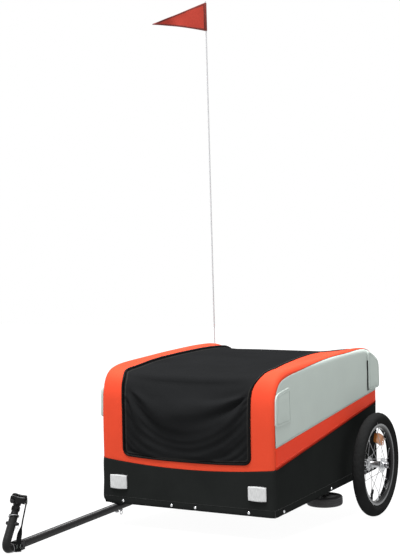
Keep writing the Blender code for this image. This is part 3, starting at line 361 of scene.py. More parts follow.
RED = fabric("cloth_flag", (0.330, 0.036, 0.023), rough=0.70, pitch=0.0006, weave=0.20, spec=0.12, variation=0.08,
             crease=0.30)
RED_HEM = fabric("cloth_flag_hem", (0.140, 0.027, 0.022), rough=0.75, pitch=0.0006, weave=0.30, spec=0.12, variation=0.10)
# painted shade: dark orange for the shadow line under the stripe's lower hem
HEM_PAINTED_SHADE = fabric("hem_orange_painted_shade", (0.150, 0.0110, 0.0060), rough=0.75, pitch=0.0009, weave=0.30, spec=0.0, variation=0.10)
THREAD_DARK = hard("thread_black", (0.0085, 0.0085, 0.0085), 0.7, grain=900, bump=0.3)
THREAD_GREY = hard("thread_grey", (0.240, 0.270, 0.255), 0.7, grain=900, bump=0.3)
THREAD_ORANGE = hard("thread_orange", (0.640, 0.052, 0.018), 0.7, grain=900, bump=0.3)
PIPING = hard("piping_black", (0.0030, 0.0026, 0.0026), 0.45, grain=300, bump=0.12, spec=0.06)
PAINT = hard("paint_black", (0.0060, 0.0060, 0.0064), 0.30, grain=220, bump=0.05, spread=0.05, spec=0.30)
PAINT_SATIN = hard("paint_satin", (0.0080, 0.0080, 0.0086), 0.40, grain=260, bump=0.08, spread=0.06, spec=0.20)
ZINC = hard("zinc", (0.62, 0.63, 0.64), 0.28, metallic=1.0, grain=500, bump=0.05, variation=0.12, spread=0.08)
HUB_ALLOY = hard("alloy_polished", (0.50, 0.51, 0.52), 0.36, metallic=1.0, grain=350, bump=0.05, variation=0.08, spread=0.08)
CHROME = hard("chrome", (0.72, 0.73, 0.74), 0.12, metallic=1.0, grain=300, bump=0.02, variation=0.04, spread=0.05)
ALLOY = hard("alloy", (0.34, 0.345, 0.355), 0.28, metallic=1.0, grain=350, bump=0.05, variation=0.08, spread=0.08)
RIM = hard("rim_black", (0.0050, 0.0050, 0.0056), 0.26, metallic=0.0, grain=300, bump=0.04, spec=0.24)
RIM_EDGE = hard("rim_edge", (0.12, 0.122, 0.126), 0.24, metallic=1.0, grain=500, bump=0.05, brushed=(1, 1, 1))
TYRE = hard("tyre_rubber", (0.0115, 0.0117, 0.0118), 0.62, grain=650, bump=0.25, variation=0.18, spread=0.08, spec=0.0)
RUBBER = hard("elbow_rubber", (0.0060, 0.0060, 0.0060), 0.42, grain=420, bump=0.16, variation=0.18, spread=0.08, spec=0.16)
PLASTIC = hard("moulded_plastic", (0.0050, 0.0050, 0.0054), 0.36, grain=520, bump=0.20, variation=0.12, spread=0.07, spec=0.14)
# painted light: a lighter copy of the black rubber for the support wheel's tyre, making up for the shade under the body
DISC_PAINTED_LIGHT = hard("disc_plastic_painted_light", (0.034, 0.034, 0.035), 0.50, grain=520, bump=0.15, variation=0.10, spec=0.20)
BOARD = fabric("board_cloth", (0.022, 0.022, 0.023), rough=0.85, pitch=0.0012, weave=0.4, spec=0.15, variation=0.2)
POLE = hard("fibreglass", (0.44, 0.44, 0.45), 0.35, grain=300, bump=0.05, variation=0.03, brushed=(1, 1, 0.02))
STEEL = hard("dull_steel", (0.20, 0.20, 0.21), 0.34, metallic=1.0, grain=500, bump=0.06, variation=0.14, spread=0.08)
SPOKE = hard("spoke_steel", (0.27, 0.27, 0.28), 0.30, metallic=1.0, grain=400, bump=0.03, variation=0.06)
# extruded tube: fine draw lines along it stretch its highlight lengthwise
TUBE = hard("paint_tube", (0.0040, 0.0040, 0.0043), 0.50, grain=220, bump=0.03, spread=0.04, spec=0.42)
_b = next(n for n in TUBE.node_tree.nodes if n.type == "BSDF_PRINCIPLED")
_b.inputs["Anisotropic"].default_value = 1.0
_t = TUBE.node_tree.nodes.new("ShaderNodeCombineXYZ")
for _k, _v in enumerate(world(np.array([[0.0, 1.0, 0.0]]))[0] - world(np.array([[0.0, 0.0, 0.0]]))[0]):
    _t.inputs[_k].default_value = float(_v)
TUBE.node_tree.links.new(_t.outputs["Vector"], _b.inputs["Tangent"])
BOLT = hard("bolt_plated", (0.58, 0.59, 0.60), 0.24, metallic=1.0, grain=600, bump=0.03, variation=0.06)


def reflector_material(name, colour, back, cell):
    """Clear or amber plastic over a field of small prisms."""
    mat = bpy.data.materials.new(name)
    tree, nodes, links, bsdf = nodes_of(mat)
    tc = nodes.new("ShaderNodeTexCoord")
    v = texture(nodes, links, "ShaderNodeTexVoronoi", tc.outputs["Object"], Scale=cell)
    v.inputs["Randomness"].default_value = 0.15
    links.new(mix_colour(nodes, links, v.outputs["Distance"], colour, back), bsdf.inputs["Base Color"])
    links.new(ramp(nodes, links, v.outputs["Distance"], 0.0, 0.6, 0.10, 0.24), bsdf.inputs["Roughness"])
    b = nodes.new("ShaderNodeBump")
    b.inputs["Strength"].default_value = 0.35
    b.inputs["Distance"].default_value = 0.0006
    links.new(v.outputs["Distance"], b.inputs["Height"])
    links.new(b.outputs["Normal"], bsdf.inputs["Normal"])
    bsdf.inputs["Coat Weight"].default_value = 0.8
    bsdf.inputs["Coat Roughness"].default_value = 0.05
    mat.diffuse_color = (*colour, 1)
    return mat


CLEAR = reflector_material("reflector_clear", (0.46, 0.465, 0.465), (0.29, 0.295, 0.295), 420)
AMBER = reflector_material("reflector_amber", (0.420, 0.150, 0.030), (0.170, 0.055, 0.012), 420)
amber_shader = next(n for n in AMBER.node_tree.nodes if n.type == "BSDF_PRINCIPLED")
amber_shader.inputs["Coat Weight"].default_value = 0.0
amber_shader.inputs["Specular IOR Level"].default_value = 0.2


# ===================================================================== mesh helpers
def finish_mesh(name, me, body, mats, replaces=()):
    ob = bpy.data.objects.new(name, me)
    scene.collection.objects.link(ob)
    for m in mats:
        me.materials.append(m)
    if body:
        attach(ob, body)
    if replaces:
        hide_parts(*replaces)
    return ob


def grid(name, P, body, mats, replaces=(), wrap_u=False, wrap_v=False, index=None,
         thickness=0.0, flip=False, smooth=True, caps=False, subsurf=0, sharp=None):
    """Quad mesh from an array of level points, rows x columns, with metric UVs."""
    P = np.asarray(P, float)
    nv, nu = P.shape[:2]
    W = world(P.reshape(-1, 3))
    us = np.concatenate([[0], np.cumsum(np.linalg.norm(np.diff(P[nv // 2], axis=0), axis=1))])
    vs = np.concatenate([[0], np.cumsum(np.linalg.norm(np.diff(P[:, nu // 2], axis=0), axis=1))])
    du = us[-1] + np.linalg.norm(P[nv // 2, 0] - P[nv // 2, -1])
    dv = vs[-1] + np.linalg.norm(P[0, nu // 2] - P[-1, nu // 2])
    faces, uvs, idx = [], [], []
    for i in range(nv if wrap_v else nv - 1):
        for j in range(nu if wrap_u else nu - 1):
            i2, j2 = (i + 1) % nv, (j + 1) % nu
            a, b, c, d = i * nu + j, i * nu + j2, i2 * nu + j2, i2 * nu + j
            u0, u1 = us[j], us[j2] if j2 else du
            v0, v1 = vs[i], vs[i2] if i2 else dv
            q = [(a, (u0, v0)), (b, (u1, v0)), (c, (u1, v1)), (d, (u0, v1))]
            if flip:
                q = q[::-1]
            faces.append([x[0] for x in q])
            uvs += [x[1] for x in q]
            idx.append(index(i, j) if index else 0)
    if caps:
        for row, rev in ((0, not flip), (nv - 1, flip)):
            f = [row * nu + j for j in range(nu)]
            if rev:
                f = f[::-1]
            faces.append(f)
            uvs += [(0.0, 0.0)] * nu
            idx.append(0)
    me = bpy.data.meshes.new(name)
    me.from_pydata([tuple(w) for w in W], [], faces)
    me.update()
    lay = me.uv_layers.new(name="metric")
    lay.data.foreach_set("uv", np.array(uvs, np.float32).ravel())
    me.polygons.foreach_set("material_index", np.array(idx, np.int32))
    if smooth:
        me.shade_smooth()
    if sharp is not None:
        me.set_sharp_from_angle(angle=math.radians(sharp))
    ob = finish_mesh(name, me, body, mats, replaces)
    if subsurf:
        s = ob.modifiers.new("smooth", "SUBSURF")
        s.levels = s.render_levels = subsurf
    if thickness:
        s = ob.modifiers.new("cloth", "SOLIDIFY")
        s.thickness = abs(thickness)
        s.offset = -1.0 if thickness > 0 else 1.0
        s.use_even_offset = False
    return ob


def tube_points(path, r, sides=12, closed=False, up=(0.0, 0.0, 1.0), squash=None):
    """Rings of points round a path, with a frame that doesn't twist."""
    path = np.asarray(path, float)
    n = len(path)
    r = np.broadcast_to(np.asarray(r, float), (n,))
    t = np.gradient(path, axis=0)
    if closed:
        t = np.roll(path, -1, 0) - np.roll(path, 1, 0)
    t /= np.linalg.norm(t, axis=1)[:, None]
    u = np.array(up, float)
    u = u - t[0] * (u @ t[0])
    if np.linalg.norm(u) < 1e-3:
        u = np.array([0.0, 1.0, 0.0]) - t[0] * t[0][1]
    u /= np.linalg.norm(u)
    out = []
    for i in range(n):
        u = u - t[i] * (u @ t[i])
        u /= np.linalg.norm(u)
        v = np.cross(t[i], u)
        a = np.arange(sides) / sides * 2 * math.pi
        k = (1.0, 1.0) if squash is None else squash
        out.append(path[i] + r[i] * (k[0] * np.cos(a)[:, None] * u + k[1] * np.sin(a)[:, None] * v))
    return np.array(out)


def tube(name, path, r, body, mat, sides=12, closed=False, replaces=(), up=(0, 0, 1), squash=None):
    P = tube_points(path, r, sides, closed, up, squash)
    return grid(name, P, body, [mat], replaces, wrap_u=True, wrap_v=closed, caps=not closed, flip=False)


def revolve(name, profile, centre, axis, steps, body, mats, replaces=(), index=None, closed=False,
            displace=None, sharp=35):
    """Profile of (radius, height) turned about an axis; the outer side runs top to bottom."""
    axis = np.array(axis, float)
    axis /= np.linalg.norm(axis)
    ref = np.array([0.0, 0.0, 1.0]) if abs(axis[2]) < 0.9 else np.array([1.0, 0.0, 0.0])
    a1 = ref - axis * (ref @ axis)
    a1 /= np.linalg.norm(a1)
    a2 = np.cross(axis, a1)
    pr = np.array(profile, float)
    rows = []
    for k in range(steps):
        th = 2 * math.pi * k / steps
        d = math.cos(th) * a1 + math.sin(th) * a2
        r, h = pr[:, 0].copy(), pr[:, 1].copy()
        if displace is not None:
            r, h = displace(r, h, k)
        rows.append(np.asarray(centre) + r[:, None] * d + h[:, None] * axis)
    P = np.array(rows)
    return grid(name, P, body, mats, replaces, wrap_v=True, wrap_u=closed, index=index, sharp=sharp,
                flip=True)


def join(name, parts, body, mats, replaces=(), smooth=True, sharp=None):
    """One object from a list of (vertices, faces, material index) in level points."""
    verts, faces, idx = [], [], []
    for v, f, m in parts:
        base = len(verts)
        verts += [tuple(q) for q in world(np.asarray(v, float))]
        faces += [[base + k for k in face] for face in f]
        idx += [m] * len(f)
    me = bpy.data.meshes.new(name)
    me.from_pydata(verts, [], faces)
    me.update()
    me.polygons.foreach_set("material_index", np.array(idx, np.int32))
    if smooth:
        me.shade_smooth()
    if sharp is not None:
        me.set_sharp_from_angle(angle=math.radians(sharp))
    lay = me.uv_layers.new(name="metric")
    return finish_mesh(name, me, body, mats, replaces)


def rod_part(p0, p1, r, sides=8, m=0, r1=None):
    P = tube_points(np.array([p0, p1], float), np.array([r, r if r1 is None else r1]), sides, up=(0.3, 0.5, 1))
    v = P.reshape(-1, 3)
    f = [[j, (j + 1) % sides, sides + (j + 1) % sides, sides + j] for j in range(sides)]
    f.append(list(range(sides))[::-1])
    f.append(list(range(sides, 2 * sides)))
    return v, f, m


def dome_part(centre, axis, r, height, sides=14, rings=5, m=0):
    """Domed bolt head with a short rim."""
    axis = np.array(axis, float) / np.linalg.norm(axis)
    ref = np.array([0.0, 0.0, 1.0]) if abs(axis[2]) < 0.9 else np.array([1.0, 0.0, 0.0])
    a1 = np.cross(axis, ref)
    a1 /= np.linalg.norm(a1)
    a2 = np.cross(axis, a1)
    v, f = [], []
    heights = [(-0.0006, r)] + [(height * math.sin(k / rings * math.pi / 2) + 0.0005, r * math.cos(k / rings * math.pi / 2))
                                for k in range(rings)]
    for h, q in heights:
        for j in range(sides):
            th = 2 * math.pi * j / sides
            v.append(np.array(centre) + axis * h + q * (math.cos(th) * a1 + math.sin(th) * a2))
    v.append(np.array(centre) + axis * (height + 0.0005))
    n = len(heights)
    for i in range(n - 1):
        for j in range(sides):
            f.append([i * sides + j, i * sides + (j + 1) % sides, (i + 1) * sides + (j + 1) % sides, (i + 1) * sides + j])
    for j in range(sides):
        f.append([(n - 1) * sides + j, (n - 1) * sides + (j + 1) % sides, n * sides])
    f.append([j for j in range(sides)][::-1])
    return v, f, m


def stitches(name, path, normals, body, mat, pitch=0.0055, length=0.0036, width=0.0007, lift=0.0005,
             blend=None):
    """A row of thread stitches along a path that lies on a surface."""
    path = np.asarray(path, float)
    s = arc_length(path)
    normals = np.asarray(normals, float)
    if normals.ndim == 1:
        normals = np.tile(normals, (len(path), 1))
    n = max(2, int(s[-1] / pitch))
    parts = []
    for k in range(n):
        a = (k + 0.15) * s[-1] / n
        b = a + length
        if b > s[-1]:
            break
        pa = np.array([np.interp(a, s, path[:, i]) for i in range(3)])
        pb = np.array([np.interp(b, s, path[:, i]) for i in range(3)])
        nn = np.array([np.interp(a, s, normals[:, i]) for i in range(3)])
        nn /= np.linalg.norm(nn)
        t = pb - pa
        if np.linalg.norm(t) < 1e-6:
            continue
        t /= np.linalg.norm(t)
        w = np.cross(t, nn) * width / 2
        up = nn * lift
        mid = (pa + pb) / 2
        v = [pa - up * 0.6, pa + w + up * 0.2, pa - w + up * 0.2,
             mid + w * 1.1 + up * 0.5, mid - w * 1.1 + up * 0.5, mid + up * 1.3, mid - up * 0.6,
             pb - up * 0.6, pb + w + up * 0.2, pb - w + up * 0.2]
        v = [pa + w - up, pa - w - up, pa + w * 0.8 + up * 0.6, pa - w * 0.8 + up * 0.6,
             mid + w - up, mid - w - up, mid + w * 0.9 + up, mid - w * 0.9 + up,
             pb + w - up, pb - w - up, pb + w * 0.8 + up * 0.6, pb - w * 0.8 + up * 0.6]
        f = [[0, 2, 3, 1], [8, 9, 11, 10]]
        for q in (0, 4):
            f += [[q, q + 4, q + 6, q + 2], [q + 2, q + 6, q + 7, q + 3], [q + 3, q + 7, q + 5, q + 1],
                  [q + 1, q + 5, q + 4, q]]
        parts.append((v, f, 0))
    return join(name, parts, None if blend else body, [mat])


# ===================================================================== camera, light, floor
def set_up_stage():
    cam_data = bpy.data.cameras.new("camera")
    cam = bpy.data.objects.new("camera", cam_data)
    scene.collection.objects.link(cam)
    yaw, pitch, roll = math.radians(29.305), math.radians(3.485), math.radians(-1.616)
    fwd = Vector((-math.sin(yaw) * math.cos(pitch), math.cos(yaw) * math.cos(pitch), -math.sin(pitch)))
    right = fwd.cross(Vector((0, 0, 1))).normalized()
    up = right.cross(fwd)
    r2 = math.cos(roll) * right + math.sin(roll) * up
    u2 = -math.sin(roll) * right + math.cos(roll) * up
    local = Matrix((r2, u2, -fwd)).transposed().to_4x4()
    cam.matrix_world = M @ Matrix.Translation((2.435, -4.947, 1.266)) @ local
    cam_data.sensor_fit = "AUTO"
    cam_data.sensor_width = 36.0
    cam_data.lens = 1384.0 * 36.0 / 555.0
    cam_data.clip_end = 200.0
    scene.camera = cam

    world_data = bpy.data.worlds.new("studio")
    scene.world = world_data
    world_data.use_nodes = True
    bg = world_data.node_tree.nodes["Background"]
    bg.inputs["Color"].default_value = (1.0, 1.0, 1.0, 1.0)
    bg.inputs["Strength"].default_value = 1.0

    me = bpy.data.meshes.new("studio_floor")
    bm = bmesh.new()
    bmesh.ops.create_circle(bm, cap_ends=True, segments=64, radius=30.0)
    bm.to_mesh(me)
    bm.free()
    floor = bpy.data.objects.new("studio_floor", me)
    floor.location = (0, 0, -0.0006)
    scene.collection.objects.link(floor)
    mat = bpy.data.materials.new("studio_floor")
    tree, nodes, links, bsdf = nodes_of(mat)
    bsdf.inputs["Base Color"].default_value = (0.045, 0.045, 0.045, 1)
    bsdf.inputs["Emission Color"].default_value = (1, 1, 1, 1)
    bsdf.inputs["Emission Strength"].default_value = 0.96
    bsdf.inputs["Roughness"].default_value = 0.9
    bsdf.inputs["Specular IOR Level"].default_value = 0.1
    me.materials.append(mat)

    def soft_sun(name, towards, strength, angle):
        data = bpy.data.lights.new(name, "SUN")
        data.energy = strength
        data.angle = math.radians(angle)
        ob = bpy.data.objects.new(name, data)
        ob.rotation_mode = "QUATERNION"
        ob.rotation_quaternion = (-Vector(towards)).to_track_quat("-Z", "Y")
        scene.collection.objects.link(ob)

    soft_sun("overhead_light", (-0.05, -0.25, 1.0), 9.6, 34.0)
    soft_sun("front_light", (-0.55, -0.80, 0.85), 0.10, 40.0)
    scene.view_settings.view_transform = "Standard"
    scene.view_settings.look = "None"
    scene.view_settings.exposure = 0.0


set_up_stage()

# ===================================================================== black lower skin
def bulge_left(x, y, z):
    return ((0.0045 + 0.0035 * smoothstep(0.24, 0.16, z)) * smoothstep(0.330, 0.285, z)
            * smoothstep(-0.20, -0.60, y) * smoothstep(-0.300, -0.345, x))


def lower_skin():
    """The black band: one piece of cloth round the whole body, turned under at the bottom."""
    # plan outline, from the middle of the front round the right side to the rear and back
    def outline(rf_right, rf_left, rr, inset=0.0):
        hw, y0, y1 = HALF_W - inset, Y_FRONT - 0.0003 + inset, Y_REAR + 0.0003 - inset
        pts = []
        corners = ((hw, y0, rf_right, -90), (hw, y1, rr, 0), (-hw, y1, rr, 90), (-hw, y0, rf_left, 180))
        pts.append((0.0, y0))
        for cx, cy, r, a0 in corners:
            ox = cx - math.copysign(r, cx)
            oy = cy + (r if cy < 0 else -r)
            for k in range(9):
                a = math.radians(a0 + 90 * k / 8)
                pts.append((ox + r * math.cos(a), oy + r * math.sin(a)))
        pts.append((0.0, y0))
        return np.array(pts)

    count = 380
    zs = [0.1450, 0.1454, 0.1462, 0.1480, 0.1520, 0.1580, 0.1650] + list(np.linspace(0.1760, 1.0, 22))
    rows = []
    for k, z in enumerate(zs):
        low = z < 0.17
        t = float(smoothstep(0.205, 0.145, z)) if z < 0.205 else 0.0
        tl = float(smoothstep(0.172, 0.145, z))
        o = outline(0.016 + 0.003 * t, 0.016 + 0.014 * tl * tl, 0.016 + 0.006 * t,
                    inset=0.0 if z > 0.158 else 0.0045 * (1 - math.sqrt(max(0.0, 1 - ((0.158 - z) / 0.0135) ** 2))))
        seg = []
        for a, b in zip(o, o[1:]):
            seg.append(a)
        seg.append(o[-1])
        o = np.array(seg)
        # fixed station numbers, so that rows line up: split at the corner ends
        cuts = [0] + [1 + 9 * q for q in range(4)] + [9 * q + 9 for q in range(4)] + [len(o) - 1]
        cuts = sorted(set(cuts))
        spans = [28, 10, 60, 10, 50, 10, 60, 10, 28]
        ring = []
        for (c0, c1), nsp in zip(zip(cuts, cuts[1:]), spans):
            part = resample(o[c0:c1 + 1], nsp + 1)
            ring += list(part[:-1])
        ring = np.array(ring)
        rows.append(np.column_stack([ring, np.full(len(ring), z)]))
    P = np.array(rows)
    # top line
    def top(x, y):
        front = band_front(x)
        side = band_side(np.clip(y, Y_FRONT, Y_REAR))
        return np.where(y < Y_FRONT + 0.004, front, side)
    base = P[-1].copy()
    tz = top(base[:, 0], base[:, 1])
    lowz = zs[6]
    for i in range(7, len(zs)):
        f = (i - 6) / (len(zs) - 1 - 6)
        P[i, :, 2] = lowz + (tz - lowz) * f
    # lean of the front with the hoops, and slight fullness between the frame and the hem
    nrm = np.zeros_like(P)
    mid = np.array([0.0, -0.284])
    for i in range(P.shape[0]):
        d = np.roll(P[i], -1, 0) - np.roll(P[i], 1, 0)
        n = np.column_stack([d[:, 1], -d[:, 0], np.zeros(len(d))])
        n /= np.linalg.norm(n, axis=1)[:, None] + 1e-12
        nrm[i] = n
    full = smoothstep(0.165, 0.20, P[..., 2]) * (1 - smoothstep(-0.05, 0.0, P[..., 2] - top(P[..., 0], P[..., 1])))
    wr = fbm(P * np.array([1.0, 1.0, 0.45]), 7.0, 3.1, 3)
    # the left front corner stands out a little, where the cloth is pulled round the rail
    P[..., 0] -= bulge_left(P[..., 0], P[..., 1], P[..., 2])
    P = P + nrm * (0.0006 + 0.0014 * wr * full)[..., None]
    # soft pull marks that rise from the bolts
    for bx, by, ax in BOLTS:
        d = P - np.array([bx, by, 0.157])
        along = d[..., 0] if ax == "Y" else d[..., 1]
        near = (np.abs(P[..., 1] - by) < 0.02) if ax == "Y" else (np.abs(P[..., 0] - bx) < 0.02)
        dz = np.clip(P[..., 2] - 0.150, 0, 1)
        w = np.exp(-(along / (0.010 + 0.35 * dz)) ** 2) * np.exp(-dz / 0.045)
        P = P - nrm * (0.0016 * w * near)[..., None]
    ob = grid("skin_lower_band", P, ROOT, [BLACK],
              replaces=("lower_panel_front", "lower_panel_left", "lower_panel_right", "lower_panel_rear"),
              wrap_u=True, thickness=0.0012)
    cut = 2 * (0.932 + 0.70)
    return P, nrm, zs


FRONT_BOLTS = [-0.267, -0.063, 0.034, 0.247]
SIDE_BOLTS = [-0.686, -0.281, 0.124]
BOLTS = ([(x, Y_FRONT, "Y") for x in FRONT_BOLTS] + [(s * HALF_W, y, "X") for s in (-1, 1) for y in SIDE_BOLTS]
         + [(x, Y_REAR, "Y") for x in (-0.25, 0.0, 0.25)])
BAND_P, BAND_N, BAND_Z = lower_skin()

parts = []
for bx, by, ax in BOLTS:
    out = np.array([0, -1.0, 0]) if by == Y_FRONT else np.array([0, 1.0, 0])
    if ax == "X":
        out = np.array([math.copysign(1, bx), 0, 0])
    at = np.array([bx, by, 0.157]) + out * 0.0006
    at[0] -= bulge_left(bx, by, 0.157)
    parts.append(dome_part(at, out, 0.0053, 0.0030))
bolts_ob = join("hem_bolts", parts, ROOT, [BOLT])

# hem stitching of the black band, just above the bolts
hem = BAND_P[7] + BAND_N[7] * 0.0003
stitches("stitch_band_hem", np.vstack([hem, hem[:1]]), np.vstack([BAND_N[7], BAND_N[7][:1]]), ROOT, THREAD_DARK,
         pitch=0.007, length=0.0045, width=0.0009)

# ===================================================================== orange surround
# The cover was laid on by hand: on the left its edge lies in a shallow valley beside the
# hoop, on the right it rides a little proud of it.
HALF = {1: ([0.30, 0.550, 0.580, 0.598, 0.612, 0.625, 0.640],
            [0.2600, 0.2600, 0.2622, 0.2680, 0.2770, 0.2860, 0.2885]),
        -1: ([0.30, 0.480, 0.546, 0.5785, 0.6065, 0.6166, 0.627, 0.635, 0.642],
             [0.2600, 0.2605, 0.2640, 0.2670, 0.2690, 0.2735, 0.2790, 0.2845, 0.2885])}
LIFT = {-1: ([-0.740, -0.7193, -0.680, -0.620, -0.570, -0.500, -0.425, -0.270, -0.110, -0.030, 0.066, 0.130, 0.170],
             [0.0, -0.0005, -0.0085, -0.0140, -0.0125, -0.0085, -0.0066, -0.0070, -0.0085, -0.0100, -0.0110,
              -0.0080, 0.0]),
        1: ([-0.740, -0.7055, -0.658, -0.600, -0.546, -0.480, -0.395, -0.3075, -0.2177, -0.1255, 0.0, 0.120, 0.170],
            [0.0, 0.0035, 0.0, -0.0025, 0.0017, 0.0050, 0.0080, 0.0090, 0.0060, -0.0020, -0.0080, -0.0090, -0.0020])}


def half_at(y, z, sx=1):
    """Half width of the cover's edge at a point of the skin's profile."""
    return np.where(y < -0.60, np.interp(z, *HALF[sx]), 0.2885)


S_FOLD = float(s_front(0.553))
S_REAR = float(_hs[np.argmax((_hp[:, 0] > 0) & (_hp[:, 1] < 0.5370))])


GREY_EDGE = [(-0.7365, 0.5050), (-0.7360, 0.5400), (-0.7300, 0.5660), (-0.7255, 0.5785), (-0.7159, 0.5940),
             (-0.6981, 0.6095), (-0.6666, 0.6200), (-0.6102, 0.6280), (-0.5264, 0.6340), (-0.4379, 0.6402),
             (-0.3435, 0.6446), (-0.2525, 0.6466), (-0.1636, 0.6462), (-0.0717, 0.6457), (-0.0028, 0.6452),
             (0.0514, 0.6424), (0.0860, 0.6379)]
GREY_EDGE = catmull(GREY_EDGE, 6)


def height_over_hoop(q):
    """Signed distance of a side point (y, z) outside the hoop's centre line, and where along it."""
    d = _hp - q
    k = int(np.argmin((d ** 2).sum(1)))
    return float((q - _hp[k]) @ _hn[k]), float(_hs[k])


_seam = np.array([height_over_hoop(q) for q in GREY_EDGE])
_seam = _seam[np.argsort(_seam[:, 1])]


def seam_u(s):
    """Where the orange ends under the grey, measured across the skin."""
    h = np.interp(s, _seam[:, 1], _seam[:, 0], right=0.0156)
    round_the_hoop = HOOP_X + WRAP_R * np.arccos(np.clip(h / WRAP_R, 0.0, 1.0))
    return round_the_hoop + np.maximum(-h, 0.0) + 0.0042


def edge_lift(s, sx=1):
    """How far the skin stands above or below the hoop's line beside the cover."""
    p, n = hoop_at(s)
    return np.interp(p[..., 0] + n[..., 0] * WRAP_R, *LIFT[sx])


def surround_rows(sx):
    inner, outer = [], []
    xs = np.linspace(0.0, WINDOW_HALF - WINDOW_R, 18)
    for x in xs[:-1]:
        inner.append((x, float(s_front(window_low(x)))))
        xo = x * 0.300 / (WINDOW_HALF - WINDOW_R)
        outer.append((xo, float(s_front(band_front(xo)))))
    cx = WINDOW_HALF - WINDOW_R
    cz = float(window_low(cx)) + WINDOW_R
    n = 14
    post_u = float(seam_u(S_FOLD))
    o_path = [(0.300, band_front(0.300)), (0.320, band_front(0.32)), (HOOP_X, band_front(HOOP_X)),
              (post_u, BAND_FRONT), (post_u, cz + 0.012)]
    o_path = resample(np.array(o_path), n)
    for k in range(n):
        a = math.radians(-90 + 90 * k / (n - 1))
        inner.append((cx + WINDOW_R * math.cos(a), float(s_front(cz + WINDOW_R * math.sin(a)))))
        outer.append((o_path[k][0], float(s_front(o_path[k][1]))))
    s0 = float(s_front(cz + 0.002))
    s1 = float(s_front(cz + 0.014))
    for k in range(1, 15):
        t = k / 14
        sk = s0 + (S_FOLD - s0) * t
        inner.append((float(np.interp(hoop_at(sk)[0][1], *HALF[sx])), sk))
        outer.append((post_u, s1 + (S_FOLD - s1) * t))
    for s in np.linspace(S_FOLD, S_REAR, 96)[1:]:
        p, nn = hoop_at(s)
        q = p + nn * WRAP_R
        inner.append((float(half_at(q[0], q[1], sx)), s))
        outer.append((float(seam_u(s)), s))
    return np.array(inner), np.array(outer)


def surround_half(sx):
    inner, outer = surround_rows(sx)
    f = np.linspace(0, 1, 22)
    rows = []
    for (xi, si), (xo, so) in zip(inner, outer):
        s = si + (so - si) * f
        rows.append(surf(xi + (xo - xi) * f, s, edge_lift(s, sx) * (1 - smoothstep(0.0, 0.72, f))))
    P = np.array(rows)
    # easy fullness of the cloth: broad, shallow, running along the posts
    wr = fbm(P * np.array([1.0, 0.35, 0.35]) + (0.0 if sx > 0 else 3.0), 11.0, 9.7, 2)
    amp = 0.0010 * np.sin(np.pi * f) ** 0.7
    mid = np.array([0.0, -0.28, 0.42])
    nr = np.cross(np.gradient(P, axis=1), np.gradient(P, axis=0))
    nr /= np.linalg.norm(nr, axis=2)[..., None] + 1e-12
    nr = nr * np.sign(np.sum(nr * (P - mid), axis=2))[..., None]
    P[1:] = P[1:] + (nr * (wr * amp)[..., None])[1:]
    # a shallow turned edge along the window and cover
    P[:, 0] -= nr[:, 0] * 0.0010
    if sx < 0:
        P[..., 0] *= -1
        nr[..., 0] *= -1
    return P, nr


def build_surround():
    P, nr = surround_half(1)
    left, nl = surround_half(-1)
    full = np.concatenate([P[::-1], left[1:]], 0)
    nfull = np.concatenate([nr[::-1], nl[1:]], 0)
    ob = grid("skin_surround", full, ROOT, [ORANGE],
              replaces=("surround_sill", "surround_post_left", "surround_post_right", "shoulder_left", "shoulder_right"),
              thickness=0.0012)
    return full, nfull


SURR, SURR_N = build_surround()

# piping along the window and the cover's edge
pipe = SURR[:, 0] + SURR_N[:, 0] * 0.0012
inward = SURR[:, 0] - SURR[:, 2]
inward /= np.linalg.norm(inward, axis=1)[:, None]
pipe = pipe + inward * 0.0028 + SURR_N[:, 0] * 0.0014
tube("piping_window", pipe, 0.0039, ROOT, PIPING, sides=10)
# topstitch next to the piping
row = SURR[:, 2] * 0.55 + SURR[:, 1] * 0.45
stitches("stitch_surround_inner", row + SURR_N[:, 1] * 0.0006, SURR_N[:, 1], ROOT, THREAD_ORANGE,
         pitch=0.006, length=0.004, width=0.0008)

# ===================================================================== side panels and stripes
def side_sheet(name, bottom, top, left, right, nu, nv, s, mat, replaces, bulge, seed, lift=0.0):
    """A panel between four edges given in (y, z), laid on the side of the body."""
    B, T = resample(np.array(bottom), nu), resample(np.array(top), nu)
    Lf, Rt = resample(np.array(left), nv), resample(np.array(right), nv)
    u = np.linspace(0, 1, nu)[None, :, None]
    v = np.linspace(0, 1, nv)[:, None, None]
    Q = ((1 - v) * B[None] + v * T[None] + (1 - u) * Lf[:, None] + u * Rt[:, None]
         - ((1 - u) * (1 - v) * B[0] + u * (1 - v) * B[-1] + (1 - u) * v * T[0] + u * v * T[-1]))
    # distance outside the hoop's centre line
    flatq = Q.reshape(-1, 2)
    h = np.empty(len(flatq))
    for i, q in enumerate(flatq):
        d = _hp - q
        k = int(np.argmin((d ** 2).sum(1)))
        h[i] = (q - _hp[k]) @ _hn[k]
    h = h.reshape(Q.shape[:2])
    x = np.where(h <= 0, HALF_W, HOOP_X + np.sqrt(np.maximum(WRAP_R ** 2 - np.minimum(h, WRAP_R * 0.98) ** 2, 0)))
    P = np.stack([x, Q[..., 0], Q[..., 1]], -1)
    inside = np.sin(np.pi * np.linspace(0, 1, nu))[None, :] ** 0.6 * np.sin(np.pi * np.linspace(0, 1, nv))[:, None] ** 0.6
    wr = fbm(P * np.array([1.0, 0.6, 1.0]), 6.0, seed, 3)
    P[..., 0] += inside * (bulge + 0.0012 * wr) + lift
    P[..., 0] *= s
    ob = grid(name, P, ROOT, [mat], replaces=replaces, thickness=0.0012, flip=s < 0)
    return P


